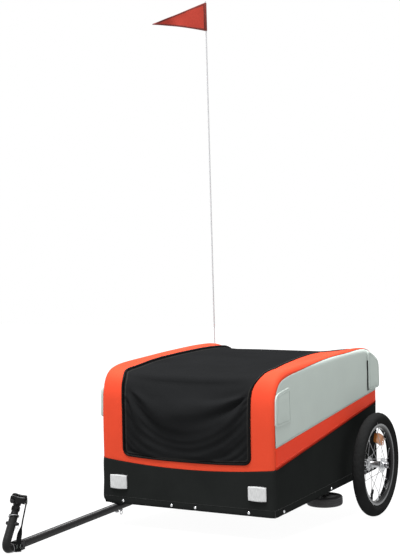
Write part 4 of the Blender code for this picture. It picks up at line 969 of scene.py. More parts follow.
# behind, the grey panel takes in the whole outside of the hoop
_rear = (_hp[:, 0] > 0.088) & (_hp[:, 1] > 0.552)
GREY_TOP = np.vstack([GREY_EDGE, (_hp + _hn * 0.0159)[_rear][::5]])
for side, s in (("left", -1), ("right", 1)):
    # the stripes take the brighter side copy of the orange cloth: painted light
    stripe = side_sheet("skin_stripe_" + side,
                        [(-0.7400, band_side(-0.7400) - 0.0005), (Y_REAR, BAND_REAR - 0.0005)],
                        [(-0.7400, stripe_side(-0.7400) + 0.002), (Y_REAR, STRIPE_REAR + 0.002)],
                        [(-0.7400, band_side(-0.7400) - 0.0005), (-0.7400, stripe_side(-0.7400) + 0.002)],
                        [(Y_REAR, BAND_REAR - 0.0005), (Y_REAR, STRIPE_REAR + 0.002)],
                        70, 8, s, ORANGE_SIDE_PAINTED_LIGHT, ("side_stripe_" + side,), 0.0008, 4.0 + s,
                        lift=0.0004)
    panel = side_sheet("skin_side_panel_" + side,
                       [(-0.7365, stripe_side(-0.7365)), (Y_REAR - 0.0005, STRIPE_REAR)], GREY_TOP,
                       [(-0.7365, stripe_side(-0.7365)), (-0.7367, 0.45), (-0.7365, 0.505)],
                       [(Y_REAR - 0.0005, STRIPE_REAR), (0.1815, 0.50), tuple(GREY_TOP[-1])],
                       80, 26, s, GREY, ("side_panel_" + side,), 0.0024, 7.0 + s,
                       lift=0.0009)
    up = np.array([s, 0.0, 0.0])
    # folded lower hem of the stripe: a thin tube coloured dark as a painted shadow line along the stripe's lower edge
    hem_shadow_line = resample(stripe[0], 60) + up * 0.0012 + np.array([0.0, 0.0, -0.0002])
    tube("stripe_hem_shadow_line_" + side, hem_shadow_line, 0.0019, ROOT, HEM_PAINTED_SHADE, sides=8)
    # topstitching along the panel's edges
    low_edge = panel[1] * 0.6 + panel[0] * 0.4 + up * 0.0006
    stitches("stitch_panel_low_" + side, low_edge, up, ROOT, THREAD_GREY, pitch=0.006, length=0.004,
             width=0.0008)
    stitches("stitch_stripe_low_" + side, stripe[1] + up * 0.0006, up, ROOT, THREAD_ORANGE,
             pitch=0.006, length=0.004, width=0.0008)


# ===================================================================== rear skin
def rear_skin():
    nu, nv = 50, 16
    u = np.linspace(-1, 1, nu)
    rows = []
    for v in np.linspace(0, 1, nv):
        z_top = 0.5985 - 0.052 * smoothstep(0.286, 0.349, np.abs(u * 0.3485))
        z = (BAND_REAR - 0.0005) + (z_top - BAND_REAR) * v
        x = u * 0.3487
        # rounded vertical corners
        r = 0.016
        over = np.maximum(np.abs(x) - (HALF_W - r), 0)
        y = Y_REAR + 0.0006 - (r - np.sqrt(np.maximum(r * r - over ** 2, 0)))
        y = y - 0.004 * smoothstep(0.53, 0.60, z)
        rows.append(np.stack([x, y, z], -1))
    P = np.array(rows)
    wr = fbm(P, 8.0, 2.2, 3)
    P[..., 1] += 0.0016 * wr * np.sin(np.pi * np.linspace(0, 1, nv))[:, None]
    ob = grid("skin_rear_upper", P, ROOT, [ORANGE], replaces=("rear_upper_panel",), thickness=0.0012,
              flip=True)
    n = np.array([0, 1.0, 0])
    for k, name in ((1, "low"), (nv - 2, "top")):
        stitches("stitch_rear_" + name, P[k] + n * 0.0007, n, ROOT, THREAD_ORANGE, pitch=0.006,
                 length=0.004, width=0.0008)


rear_skin()


# ===================================================================== corner pads
def corner_pad(name, s, corners, node, raised, power):
    """A padded grey patch sewn on the side: rolled edge and a quilted stitch line.
    Corners in (y, z): low front, low rear, top rear, top front; power rounds each of them."""
    ny, nz = 30, 32
    A, B, C, D = [np.array(c) for c in corners]

    def at(a, b):
        k = power[(0 if a < 0 else 1) if b < 0 else (3 if a < 0 else 2)]
        m = max(abs(a), abs(b), 1e-9)
        q = m / ((abs(a) ** k + abs(b) ** k) ** (1 / k) + 1e-12)
        u, v = (a * q + 1) / 2, (b * q + 1) / 2
        return (1 - u) * (1 - v) * A + u * (1 - v) * B + u * v * C + (1 - u) * v * D
    hy, hz = (B[0] - A[0]) / 2, (D[1] - A[1]) / 2
    rows = []
    for b in np.sin(np.linspace(-1, 1, nz) * math.pi / 2) * 0.6 + np.linspace(-1, 1, nz) * 0.4:
        row = []
        for a in np.sin(np.linspace(-1, 1, ny) * math.pi / 2) * 0.6 + np.linspace(-1, 1, ny) * 0.4:
            y, z = at(a, b)
            edge = min((1 - abs(a)) * hy, (1 - abs(b)) * hz)
            roll = math.sqrt(max(0.0, 1 - max(0.0, 1 - edge / 0.0045) ** 2))
            groove = -0.0012 * math.exp(-((edge - 0.0080) / 0.0016) ** 2)
            puff = 0.0015 * min(1.0, edge / 0.030)
            h = height_over_hoop(np.array([y, z]))[0] * float(smoothstep(0.575, 0.615, z))
            skin = HALF_W if h <= 0 else HOOP_X + math.sqrt(WRAP_R ** 2 - min(h, 0.98 * WRAP_R) ** 2)
            row.append((skin - 0.0006 + (raised - 0.0010) * roll + groove * min(1.0, raised / 0.008) + puff, y, z))
        rows.append(row)
    P = np.array(rows)
    P[..., 0] += 0.0008 * fbm(P, 20.0, 1.0 + s + A[0], 2)
    P[..., 0] *= s
    ob = grid(name, P, ROOT, [GREY], replaces=(node,), thickness=0.0014, flip=s < 0)
    up = np.array([s, 0, 0.0])
    loop = []
    for a, b in ((-1, -1), (1, -1), (1, 1), (-1, 1), (-1, -1)):
        y, z = at(a * (1 - 0.0080 / hy), b * (1 - 0.0080 / hz))
        loop.append((s * (HALF_W + raised - 0.0006), y, z))
    stitches("stitch_" + name, resample(np.array(loop), 120), up, ROOT, THREAD_GREY, pitch=0.0055,
             length=0.0036, width=0.0008)


for side, s in (("left", -1), ("right", 1)):
    corner_pad("pad_front_" + side, s, ((-0.7400, 0.4560), (-0.6180, 0.4560), (-0.6200, 0.5860), (-0.7330, 0.5740)),
               "corner_pad_front_" + side, 0.0135 if s < 0 else 0.0062, (11, 11, 11, 5))
    corner_pad("pad_rear_" + side, s, ((0.0830, 0.4730), (0.1905, 0.4730), (0.1900, 0.5900), (0.0830, 0.6330)),
               "corner_pad_rear_" + side, 0.0118, (12, 9, 3.2, 12))
    # painted shadow: a dark tube in the mouth of the rear pocket, along its front edge
    slit = np.array([(s * (HALF_W + 0.0048), 0.0825 - 0.0006 * math.sin(9 * t), 0.4740 + 0.1180 * t)
                     for t in np.linspace(0, 1, 14)])
    tube("pad_slit_painted_shadow_" + side, slit, 0.0022, ROOT, PIPING, sides=8)


# ===================================================================== cover
CENTRE_FRONT = [(-0.7488, 0.3180), (-0.7525, 0.360), (-0.7570, 0.410), (-0.7605, 0.455), (-0.7595, 0.488),
                (-0.7500, 0.520), (-0.7330, 0.552)]
CENTRE_TOP = [(-0.7330, 0.552), (-0.7165, 0.579), (-0.7035, 0.599), (-0.6915, 0.6130), (-0.6740, 0.6215),
              (-0.6400, 0.6270), (-0.5900, 0.6310), (-0.5000, 0.6340), (-0.3500, 0.6350), (-0.2000, 0.6335),
              (-0.0600, 0.6300), (0.0600, 0.6225),
              (0.1200, 0.6170), (0.1750, 0.6105)]
NU, NF, NT = 120, 60, 100


def cover_rows():
    """Front flap rows then top rows, as arrays of level points across the cover."""
    t = np.linspace(-1, 1, NU)
    cf = resample(catmull(CENTRE_FRONT, 8), NF)
    ct = resample(catmull(CENTRE_TOP, 8), NT)
    # the cover's edge: just inside the surround's inner edge
    s_edge_front = np.linspace(0, 1, NF)
    rows = []
    sh = 2.3
    s_low, s_high = float(s_front(0.3285)), float(s_front(0.5620))
    for i in range(NF):
        f = i / (NF - 1)
        s = s_low + (s_high - s_low) * f
        el = surf(-0.2585, s, float(edge_lift(s, -1)) - 0.0022)
        er = surf(0.2585, s, float(edge_lift(s, 1)) - 0.0022)
        ez = np.where(t < 0, el[2], er[2])
        ey = np.where(t < 0, el[1], er[1])
        dz = max(0.0, (er[2] - (float(window_low(0.235)) + 0.002)))
        r = WINDOW_R - 0.002
        in_corner = r - math.sqrt(max(0.0, r * r - (r - dz) ** 2)) if dz < r else 0.0
        zs = hoop_at(s)[0][1]
        half = np.where(t < 0, np.interp(zs, *HALF[-1]), np.interp(zs, *HALF[1])) - 0.0018 - in_corner
        x = t * half
        w = np.abs(t) ** sh
        low = window_low(x) + 0.0024
        zc, yc = cf[i][1], cf[i][0]
        z = zc + (ez - zc) * w
        # near the bottom the rows follow the window's lower line
        a = (1 - f) ** 1.5
        z = z * (1 - a) + (low + (zc - 0.318)) * a
        y = yc + (ey - yc) * w
        rows.append(np.stack([x, y, z], -1))
    s_end = float(_hs[np.argmax((_hp[:, 0] > 0) & (_hp[:, 1] < 0.5980))])
    for i in range(1, NT):
        f = i / (NT - 1)
        s = s_high + (s_end - s_high) * f
        p, nn = hoop_at(s)
        q0 = p + nn * WRAP_R
        ql, qr = [p + nn * (WRAP_R + float(edge_lift(s, k)) - 0.0020) for k in (-1, 1)]
        half = np.where(t < 0, float(half_at(q0[0], q0[1], -1)), float(half_at(q0[0], q0[1], 1))) - 0.0020
        qy, qz = np.where(t < 0, ql[0], qr[0]), np.where(t < 0, ql[1], qr[1])
        yc, zc = ct[i]
        w = np.abs(t) ** (sh + 5.0 * float(smoothstep(0.70, 1.0, f)))
        y = yc + (qy - yc) * w
        z = zc + (qz - zc) * w
        rows.append(np.stack([t * half, y, z], -1))
    return np.array(rows)


def normals_of(P, towards):
    a = np.gradient(P, axis=0)
    b = np.gradient(P, axis=1)
    n = np.cross(b, a)
    n /= np.linalg.norm(n, axis=2)[..., None] + 1e-12
    flip = np.sign(np.sum(n * (P - np.array(towards)), axis=2))
    flip[flip == 0] = 1
    return n * flip[..., None]


def folds(P, N):
    """Tension folds that fan out from the upper corners of the front, and soft waves on the top."""
    d = np.zeros(P.shape[:2])
    rows = np.arange(P.shape[0])[:, None]
    front = 1 - smoothstep(NF - 6, NF + 8, rows)
    edge = 1 - np.abs(np.linspace(-1, 1, NU))[None, :] ** 6
    low = smoothstep(0, 7, rows)
    fans = {-1: ((29, 8.0, 0.0080), (44, 7.5, -0.0125), (60, 8.0, 0.0115), (76, 7.0, -0.0070), (88, 6.0, 0.0030)),
            1: ((9, 6.0, -0.0050), (21, 6.5, 0.0105), (34, 7.5, -0.0135), (51, 8.5, 0.0090), (70, 8.0, -0.0060))}
    for sx in (-1, 1):
        cx, cz = sx * 0.264, 0.584
        dx = (P[..., 0] - cx) * -sx
        dz = cz - P[..., 2]
        r = np.hypot(dx, dz)
        ang = np.degrees(np.arctan2(dz, np.maximum(dx, 1e-4)))
        fall = smoothstep(0.012, 0.080, r) * np.exp(-(r / (0.24 if sx < 0 else 0.23)) ** 2)
        for a0, wdt, amp in fans[sx]:
            aa = a0 + 5.0 * np.sin(r * 13 + sx)
            d += amp * np.exp(-((ang - aa) / wdt) ** 2) * fall * front
    # small folds that rise from the lower corners
    for sx in (-1, 1):
        dx = (P[..., 0] - sx * 0.250) * -sx
        dz = P[..., 2] - 0.332
        r = np.hypot(dx, dz)
        ang = np.degrees(np.arctan2(dz, np.maximum(dx, 1e-4)))
        fall = smoothstep(0.008, 0.04, r) * np.exp(-(r / 0.10) ** 2)
        for a0, wdt, amp in ((26, 11.0, 0.0030), (50, 10.0, -0.0024), (72, 9.0, 0.0018)):
            d += amp * np.exp(-((ang - a0) / wdt) ** 2) * fall * front
    # a broad soft belly across the flap and slight vertical waves
    belly = 0.0016 * np.sin(P[..., 0] * 21 + 1.2 + 3.0 * (P[..., 2] - 0.4)) + 0.0012 * np.sin(P[..., 0] * 47 - 0.6)
    d += belly * front * low
    # the top: long shallow waves from the front corners to the middle
    back = smoothstep(NF - 2, NF + 14, rows)
    for sx in (-1, 1):
        dx = (P[..., 0] - sx * 0.275) * -sx
        dy = P[..., 1] + 0.690
        r = np.hypot(dx, dy)
        ang = np.degrees(np.arctan2(dy, np.maximum(dx, 1e-4)))
        fall = smoothstep(0.02, 0.10, r) * np.exp(-(r / 0.34) ** 2)
        for a0, wdt, amp in ((20, 8.0, 0.0026), (42, 8.0, -0.0026), (62, 8.0, 0.0024)):
            d += amp * np.exp(-((ang - a0) / wdt) ** 2) * fall * back
    d += 0.0016 * fbm(P * np.array([0.9, 0.5, 1.0]), 6.5, 5.5, 3)
    side = 1 - np.abs(np.linspace(-1, 1, NU))[None, :] ** 10
    ends = smoothstep(0, 6, rows) * (1 - smoothstep(P.shape[0] - 8, P.shape[0] - 1, rows))
    return P + N * (d * side * ends)[..., None]


def simulate_cover(P):
    """Hangs the cover on its edges: a cloth a little larger than its frame sags and wrinkles."""
    nv, nu = P.shape[:2]
    me = bpy.data.meshes.new("cover_sim")
    W = world(P.reshape(-1, 3))
    faces = [[i * nu + j, i * nu + j + 1, (i + 1) * nu + j + 1, (i + 1) * nu + j]
             for i in range(nv - 1) for j in range(nu - 1)]
    me.from_pydata([tuple(w) for w in W], [], faces)
    me.update()
    ob = bpy.data.objects.new("cover_sim", me)
    scene.collection.objects.link(ob)
    vg = ob.vertex_groups.new(name="pin")
    pins = [i * nu + j for i in range(nv) for j in range(nu) if i in (0, nv - 1) or j in (0, nu - 1)]
    vg.add(pins, 1.0, "REPLACE")
    soft = [i * nu + j for i in range(1, nv - 1) for j in range(1, nu - 1)
            if i == 1 or i == nv - 2 or j == 1 or j == nu - 2]
    vg.add(soft, 0.6, "REPLACE")
    m = ob.modifiers.new("Cloth", "CLOTH")
    c = m.settings
    c.quality = 6
    c.mass = 0.25
    c.tension_stiffness = 25
    c.compression_stiffness = 8
    c.shear_stiffness = 6
    c.bending_stiffness = 2.0
    c.tension_damping = 12
    c.air_damping = 4
    c.vertex_group_mass = "pin"
    c.shrink_min = -0.0045
    m.collision_settings.use_collision = False
    m.point_cache.frame_start = 1
    m.point_cache.frame_end = 30
    old = scene.frame_current
    for f in range(1, 25):
        scene.frame_set(f)
    dg = bpy.context.evaluated_depsgraph_get()
    ev = ob.evaluated_get(dg)
    tmp = ev.to_mesh()
    co = np.zeros(len(tmp.vertices) * 3)
    tmp.vertices.foreach_get("co", co)
    ev.to_mesh_clear()
    scene.frame_set(old)
    bpy.data.objects.remove(ob, do_unlink=True)
    co = co.reshape(-1, 3)
    d = co - W
    length = np.linalg.norm(d, axis=1)
    cap = 0.0065
    d *= 0.75 * np.minimum(1.0, cap / np.maximum(length, 1e-9))[:, None]
    back = (W + d - SHIFT) @ ROOT_INV.T
    return over_bars(back.reshape(P.shape))


def over_bars(P):
    """Keeps the cloth on the outside of the two cross bars that it lies over."""
    for by, bz in ((-0.6860, 0.6040), (0.1540, 0.5740)):
        d = P[..., 1:] - np.array([by, bz])
        r = np.linalg.norm(d, axis=2)
        out = 0.0028 * smoothstep(0.0230, 0.0110, r)
        need = np.maximum(np.maximum(0.0116 - r, 0), out)
        P = P.copy()
        P[..., 1:] += d / np.maximum(r, 1e-6)[..., None] * need[..., None]
    return P


ROOT_INV = np.linalg.inv(ROT)


def build_cover():
    P = cover_rows()
    N = normals_of(P, (0.0, -0.28, 0.40))
    P = over_bars(folds(P, N))
    P = simulate_cover(P)
    N = normals_of(P, (0.0, -0.28, 0.40))
    # binding tape: a slightly raised border with a groove where it is sewn down
    t = np.abs(np.linspace(-1, 1, NU))
    x_edge = (1 - t)[None, :] * np.abs(P[:, -1, 0])[:, None]
    arc = np.cumsum(np.concatenate([[0], np.linalg.norm(np.diff(P[:, NU // 2], axis=0), axis=1)]))
    v_edge = np.minimum(arc, 1.0)[:, None]
    e = np.minimum(x_edge, v_edge)
    P = P + N * (0.0009 * (1 - smoothstep(0.0085, 0.0100, e)) - 0.0007 * np.exp(-((e - 0.0100) / 0.0012) ** 2))[..., None]
    # faces just inside the tape take the lighter seam colour: a painted highlight along the tape's inner edge
    def border(i, j):
        m = 0.5 * (e[i, j] + e[i + 1, j + 1])
        return 1 if m < 0.0085 else (2 if m < 0.0130 else 0)
    ob = grid("cover_cloth", P, None, [COVER, WEBBING, SEAM_PAINTED_HIGHLIGHT], replaces=("cover_top", "cover_front"),
              thickness=0.0012, index=border)
    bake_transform(ob)
    return P, N


COVER_P, COVER_N = build_cover()


def cover_rear_strip():
    """The sewn strip that carries the cover's rear edge."""
    edge = COVER_P[-1]
    rows = []
    rear_top = []
    for x, y, z in edge:
        rear_top.append((x, Y_REAR + 0.0006 - 0.0040, 0.5985))
    rear_top = np.array(rear_top)
    for f in np.linspace(0, 1, 7):
        q = edge * (1 - f) + rear_top * f
        q = q + np.array([0, 0.0028, 0.0022]) * math.sin(math.pi * f)
        rows.append(q)
    P = np.array(rows)
    ob = grid("cover_rear_strip", P, None, [WEBBING], thickness=0.0011)
    world(edge[NU // 2])
    world(rear_top[NU // 2])
    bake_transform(ob)


cover_rear_strip()

# ===================================================================== front reflectors
def front_reflector(name, s, node):
    x0, x1 = 0.2465, 0.3185
    z0, z1 = 0.2010, 0.2515
    nx, nz = 37, 26
    rows = []
    for b in np.linspace(-1, 1, nz):
        row = []
        for a in np.linspace(-1, 1, nx):
            edge = min((1 - abs(a)) * (x1 - x0) / 2, (1 - abs(b)) * (z1 - z0) / 2)
            roll = math.sqrt(max(0.0, 1 - max(0.0, 1 - edge / 0.003) ** 2))
            bow = 0.0034 * (1 - a * a)
            rib = 0.0008 * (1 if (int((a + 1) * 9) % 2 == 0) else 0) if edge > 0.004 else 0
            h = 0.0002 + 0.0050 * roll + bow * roll + rib
            row.append(((x0 + x1) / 2 + a * (x1 - x0) / 2 + 0.0008 * a * (1 - b * b), Y_FRONT - h,
                        (z0 + z1) / 2 + b * (z1 - z0) / 2 + 0.0020 * b * (1 - a * a)))
        rows.append(row)
    P = np.array(rows)
    P[..., 0] *= s
    ob = grid(name, P, ROOT, [CLEAR], replaces=(node,), thickness=0.0010, flip=s < 0, sharp=30)
    frame_path = []
    for k in range(64):
        a = 2 * math.pi * k / 64
        ca, sa = math.cos(a), math.sin(a)
        q = (abs(ca) ** 8 + abs(sa) ** 8) ** (-1 / 8)
        ka, kb = ca * q, sa * q
        frame_path.append((s * ((x0 + x1) / 2 + ka * ((x1 - x0) / 2 + 0.0004) + 0.0008 * ka * max(0.0, 1 - kb * kb)),
                           Y_FRONT - 0.0014,
                           (z0 + z1) / 2 + kb * ((z1 - z0) / 2 + 0.0004) + 0.0020 * kb * max(0.0, 1 - ka * ka)))
    tube(name + "_rim", frame_path, 0.0016, ROOT, PLASTIC, sides=8, closed=True)


front_reflector("reflector_lens_left", -1, "reflector_front_left")
front_reflector("reflector_lens_right", 1, "reflector_front_right")


# ===================================================================== wheels
def wheel(side, s):
    body = "wheel_" + side
    c = np.array([s * WHEEL_X, 0.0, WHEEL_R])
    ax = (s, 0, 0)
    rc, rs = 0.1775, 0.0225
    # tyre: round casing, flatter tread with cut blocks, bead lips on the rim
    steps = 288
    prof, kind = [], []
    for k in range(33):
        a = math.radians(146 - 292 * k / 32)
        prof.append((rc + rs * math.cos(a), rs * math.sin(a)))
        kind.append(a)
    inner = []
    for k in range(9):
        a = math.radians(-140 + 280 * k / 8)
        inner.append((rc + (rs - 0.003) * math.cos(a), (rs - 0.003) * math.sin(a)))
    prof = prof + inner
    ang = np.array(kind + [9.0] * len(inner))
    pr = np.array(prof)
    out_n = np.column_stack([np.cos(ang), np.sin(ang)])
    out_n[len(kind):] = 0

    def tread(r, h, k):
        a = ang
        d = np.zeros(len(r))
        on = np.abs(a) < 0.95
        centre = np.abs(a) < 0.10
        ring1 = (np.abs(np.abs(a) - 0.16) < 0.06)
        ring2 = (np.abs(np.abs(a) - 0.56) < 0.05)
        lateral = ((k % 6) == 0) | ((k % 6) == 1)
        shifted = (((k + 3) % 6) == 0) | (((k + 3) % 6) == 1)
        d[on & ring1] -= 0.0011
        d[on & ring2] -= 0.0010
        mid = on & (np.abs(a) > 0.2) & (np.abs(a) < 0.52)
        outb = on & (np.abs(a) > 0.6)
        if lateral:
            d[mid] -= 0.0012
        if shifted:
            d[outb] -= 0.0012
        # two moulded lines on each side wall
        for w in (1.35, 1.72, 2.05):
            d[np.abs(np.abs(a) - w) < 0.045] += 0.00035
        return r + out_n[:, 0] * d, h + out_n[:, 1] * d

    revolve("tyre_tread_" + side, pr, c, ax, steps, body, [TYRE], ("tyre_" + side,), closed=True,
            displace=tread, sharp=None)
    # rim: hooked edges with a bright brake line, deep well
    rim = [(0.1545, 0.0128), (0.1572, 0.0136), (0.1574, 0.0122), (0.1530, 0.0112), (0.1490, 0.0078), (0.1478, 0.0040),
           (0.1475, 0.0), (0.1478, -0.0040), (0.1490, -0.0078), (0.1530, -0.0112), (0.1574, -0.0122),
           (0.1572, -0.0136), (0.1545, -0.0128), (0.1500, -0.0130), (0.1462, -0.0126), (0.1432, -0.0105),
           (0.1416, -0.0060), (0.1410, 0.0), (0.1416, 0.0060), (0.1432, 0.0105), (0.1462, 0.0126), (0.1500, 0.0130)]
    bright = {0, 1, 10, 11, 12, 21}
    revolve("rim_hoop_" + side, rim, c, ax, 120, body, [RIM, RIM_EDGE], ("rim_" + side,),
            closed=True, index=lambda i, j: 1 if j in bright else 0, sharp=40)
    # hub shell with dust caps and drilled flanges
    f, b = 0.028, 0.0064
    hub = [(0.0088, 0.0372), (0.0102, 0.0362), (0.0108, 0.0330), (0.0150, 0.0322), (0.0152, f + 0.0022),
           (0.0268, f + 0.0018), (0.0278, f + 0.0006), (0.0278, f - 0.0008), (0.0266, f - 0.0018), (0.0168, f - 0.0030),
           (0.0140, f - 0.0075), (0.0126, 0.0120), (0.0122, 0.0), (0.0126, -0.0120), (0.0140, -f + 0.0075),
           (0.0168, -f + 0.0030), (0.0266, -f + 0.0018), (0.0278, -f + 0.0008), (0.0278, -f - 0.0006),
           (0.0268, -f - 0.0018), (0.0152, -f - 0.0022), (0.0150, -0.0322), (0.0108, -0.0330), (0.0102, -0.0545),
           (0.0092, -0.0552), (b, -0.0552), (b, 0.0372)]
    revolve("hub_shell_" + side, hub, c, ax, 56, body, [HUB_ALLOY], ("hub_" + side,), closed=True, sharp=32)
    # spokes: ten to each flange, leading and trailing, with elbows and nipples
    spokes, nipples = [], []
    for flange in (-1, 1):
        for k in range(10):
            hole = 2 * math.pi * k / 10 + (math.pi / 10 if flange > 0 else 0.0)
            lead = 1 if k % 2 == 0 else -1
            end = hole + lead * math.radians(72)
            fx = flange * f + lead * 0.0024 * flange
            x_in = s * fx
            p0 = c + np.array([x_in, 0.0235 * math.cos(hole), 0.0235 * math.sin(hole)])
            p1 = c + np.array([s * flange * 0.0032, 0.1405 * math.cos(end), 0.1405 * math.sin(end)])
            d = (p1 - p0) / np.linalg.norm(p1 - p0)
            back = c + np.array([s * (flange * f - lead * 0.0026 * flange), 0.0235 * math.cos(hole),
                                 0.0235 * math.sin(hole)])
            path = np.array([back, p0 - np.array([x_in - s * flange * f, 0, 0]) * 0.2, p0 + d * 0.0022, p0 + d * 0.006, p1])
            P = tube_points(path, 0.00105, 8, up=(0.2, 0.4, 0.9))
            v = P.reshape(-1, 3)
            ff = []
            for i in range(len(path) - 1):
                for j in range(8):
                    ff.append([i * 8 + j, i * 8 + (j + 1) % 8, (i + 1) * 8 + (j + 1) % 8, (i + 1) * 8 + j])
            ff.append(list(range(8))[::-1])
            ff.append(list(range((len(path) - 1) * 8, len(path) * 8)))
            spokes.append((v, ff, 0))
            spokes.append(dome_part(back, np.array([-s * lead * flange, 0, 0.0]), 0.0021, 0.0010, 8, 3))
            nipples.append(rod_part(p1 - d * 0.0115, p1 + d * 0.0010, 0.0017, 8, 0, 0.0021))
    join("spokes_" + side, spokes, body, [SPOKE], sharp=60)
    join("nipples_" + side, nipples, body, [CHROME], sharp=60)
    # amber reflector clipped between the spokes
    rows = []
    rr = math.radians(-21.0)
    ca, sa = math.cos(rr), math.sin(rr)
    hy, hz, t = 0.0410, 0.0200, 0.0058
    for layer in np.linspace(0, 1, 9):
        ang2 = math.pi * layer
        off = t * math.cos(ang2)
        grow = 0.70 + 0.30 * math.sin(ang2) ** 0.5
        ring = []
        for k in range(48):
            a = 2 * math.pi * k / 48
            q = (abs(math.cos(a)) ** 5 + abs(math.sin(a)) ** 5) ** (-1 / 5)
            yy, zz = math.cos(a) * q * hy * (0.94 + 0.06 * grow), math.sin(a) * q * hz * (0.86 + 0.14 * grow)
            zz = zz - 0.0035 * (yy / hy) ** 2
            y2, z2 = yy, 0.1000 + zz
            y3, z3 = y2 * ca - z2 * sa, y2 * sa + z2 * ca
            ring.append(c + np.array([s * off, y3 * 1.0, z3]))
        rows.append(ring)
    grid("spoke_reflector_" + side, np.array(rows), body, [AMBER], wrap_u=True, caps=True, flip=(s > 0),
         sharp=40)
    # valve with cap
    p0 = c + np.array([0, -0.0560, -0.1290])
    d = -np.array([0, -0.0560, -0.1290]) / np.hypot(0.0560, 0.1290)
    v = [(p0, 0.0058), (p0 + d * 0.010, 0.0056), (p0 + d * 0.012, 0.0046), (p0 + d * 0.026, 0.0044),
         (p0 + d * 0.0262, 0.0056), (p0 + d * 0.040, 0.0054), (p0 + d * 0.042, 0.0042)]
    tube("valve_" + side, np.array([q[0] for q in v]), np.array([q[1] for q in v]), body, PLASTIC,
         sides=14)
    # axle head and push button
    axle = "axle_" + side
    head = [(0.0, 0.1078), (0.0050, 0.1078), (0.0050, 0.1140), (0.0098, 0.1140), (0.0120, 0.1132), (0.0126, 0.1112),
            (0.0126, 0.1072), (0.0118, 0.1060), (0.0060, 0.1056), (0.0060, -0.0240), (0.0046, -0.0258), (0.0, -0.0258)]
    revolve("axle_shaft_" + side, head, np.array([s * 0.350, 0, WHEEL_R]), ax, 40, axle, [STEEL],
            ("axle_" + side,), sharp=30)
    btn = [(0.0, 0.1173), (0.0022, 0.1172), (0.0038, 0.1165), (0.0044, 0.1152), (0.0044, 0.1112), (0.0, 0.1112)]
    revolve("axle_push_button_" + side, btn, np.array([s * 0.350, 0, WHEEL_R]), ax, 28, "button_" + side, [PLASTIC],
            ("axle_button_" + side,), sharp=40)


wheel("left", -1)
wheel("right", 1)


# ===================================================================== drawbar and coupling
def on_arm(t, x=DRAW_X, off=0.0):
    """Point at distance t above the elbow's end; off moves it square to the arm, forwards."""
    return np.array([x, ARM_TOP[0] + t * ARM_DIR[0] - off * ARM_DIR[1], ARM_TOP[1] + t * ARM_DIR[1] + off * ARM_DIR[0]])


ELBOW = [(-1.3725, 0.1280), (-1.3870, 0.1282), (-1.3965, 0.1325), (-1.4000, 0.1430),
         (-1.3960, 0.1560), (-1.3860, 0.1730), (-1.3701, 0.2000), tuple(ARM_TOP)]
path = resample(catmull([(DRAW_X, y, z) for y, z in ELBOW], 10), 70)
k = np.linspace(0, 1, 70)
radius = 0.0140 - 0.0006 * np.exp(-((k - 0.02) / 0.02) ** 2) - 0.0006 * np.exp(-((k - 0.98) / 0.02) ** 2)
radius = radius - 0.00022 * (np.abs((k * 40) % 1.0 - 0.5) < 0.08)
tube("elbow_rubber", path, radius, "hitch_arm", RUBBER, sides=32, replaces=("hitch_elbow",))
# collar of the elbow: pressed ring with a rolled edge
cap = [(0.0155, 0.0032), (0.0160, 0.0026), (0.0160, -0.0016), (0.0152, -0.0022), (0.0, -0.0022), (0.0, 0.0032)]
revolve("elbow_cap", cap, on_arm(0.0), (0, ARM_DIR[0], ARM_DIR[1]), 48, "hitch_arm", [RUBBER], sharp=35)
ring = [(0.0176, 0.0016), (0.0184, 0.0008), (0.0184, -0.0004), (0.0176, -0.0012), (0.0155, -0.0010), (0.0155, 0.0014)]
revolve("elbow_collar", ring, on_arm(-0.0012, DRAW_X + 0.0004), (-0.30, ARM_DIR[0], ARM_DIR[1]), 48, "hitch_arm",
        [ALLOY], ("hitch_collar",), closed=True, sharp=35)
revolve("elbow_foot_ring", [(0.0148, 0.0020), (0.0160, 0.0012), (0.0160, -0.0012), (0.0148, -0.0020)],
        (DRAW_X, -1.3760, 0.1280), (0, -1, 0), 44, "hitch_arm", [STEEL], closed=True, sharp=35)
# through bolt of the elbow with its nut
mid = on_arm(-0.0250)
parts = [rod_part(mid + np.array([-0.0195, 0, 0]), mid + np.array([0.0205, 0, 0]), 0.0030, 14),
         rod_part(mid + np.array([-0.0212, 0, 0]), mid + np.array([-0.0146, 0, 0]), 0.0062, 6),
         rod_part(mid + np.array([0.0146, 0, 0]), mid + np.array([0.0205, 0, 0]), 0.0064, 6),
         rod_part(mid + np.array([0.0205, 0, 0]), mid + np.array([0.0258, 0, 0]), 0.0050, 14)]
join("elbow_bolt", parts, "hitch_arm", [PAINT_SATIN], sharp=30)
# wire ring that hangs on the bolt
a = np.linspace(0, 2 * math.pi, 40, endpoint=False)
ringp = np.array([mid + np.array([0.0175 + 0.0015 * math.sin(t), 0.0075 * math.cos(t) + 0.003, -0.0095 + 0.0088 * math.sin(t)])
                  for t in a])
tube("wire_ring", ringp, 0.0008, "hitch_arm", CHROME, sides=8, closed=True)

# the clamp head stands turned on its arm, so that the clamp faces outwards
HEAD_AT = on_arm(0.0035)
HEAD_AXIS = np.array([0.0, ARM_DIR[0], ARM_DIR[1]])
HEAD_ANGLE = math.radians(29.0)


def turned_dir(v):
    v = np.asarray(v, float)
    c, sn = math.cos(HEAD_ANGLE), math.sin(HEAD_ANGLE)
    return v * c + np.cross(HEAD_AXIS, v) * sn + HEAD_AXIS * (v @ HEAD_AXIS)[..., None] * (1 - c)


def turned(p):
    return HEAD_AT + turned_dir(np.asarray(p, float) - HEAD_AT)


# clamp head: base, grooved wall, neck with ribs
HX0, HX1 = -0.3275, -0.2775
CLAMP_X, CLAMP_Z = -0.3185, 0.2790


def crest(x):
    return np.interp(x, [-0.3275, -0.3250, -0.3200, -0.3140, -0.3070, -0.2980, -0.2880, -0.2805, -0.2775],
                     [0.2915, 0.2950, 0.2970, 0.2966, 0.2955, 0.2952, 0.2962, 0.2968, 0.2948])


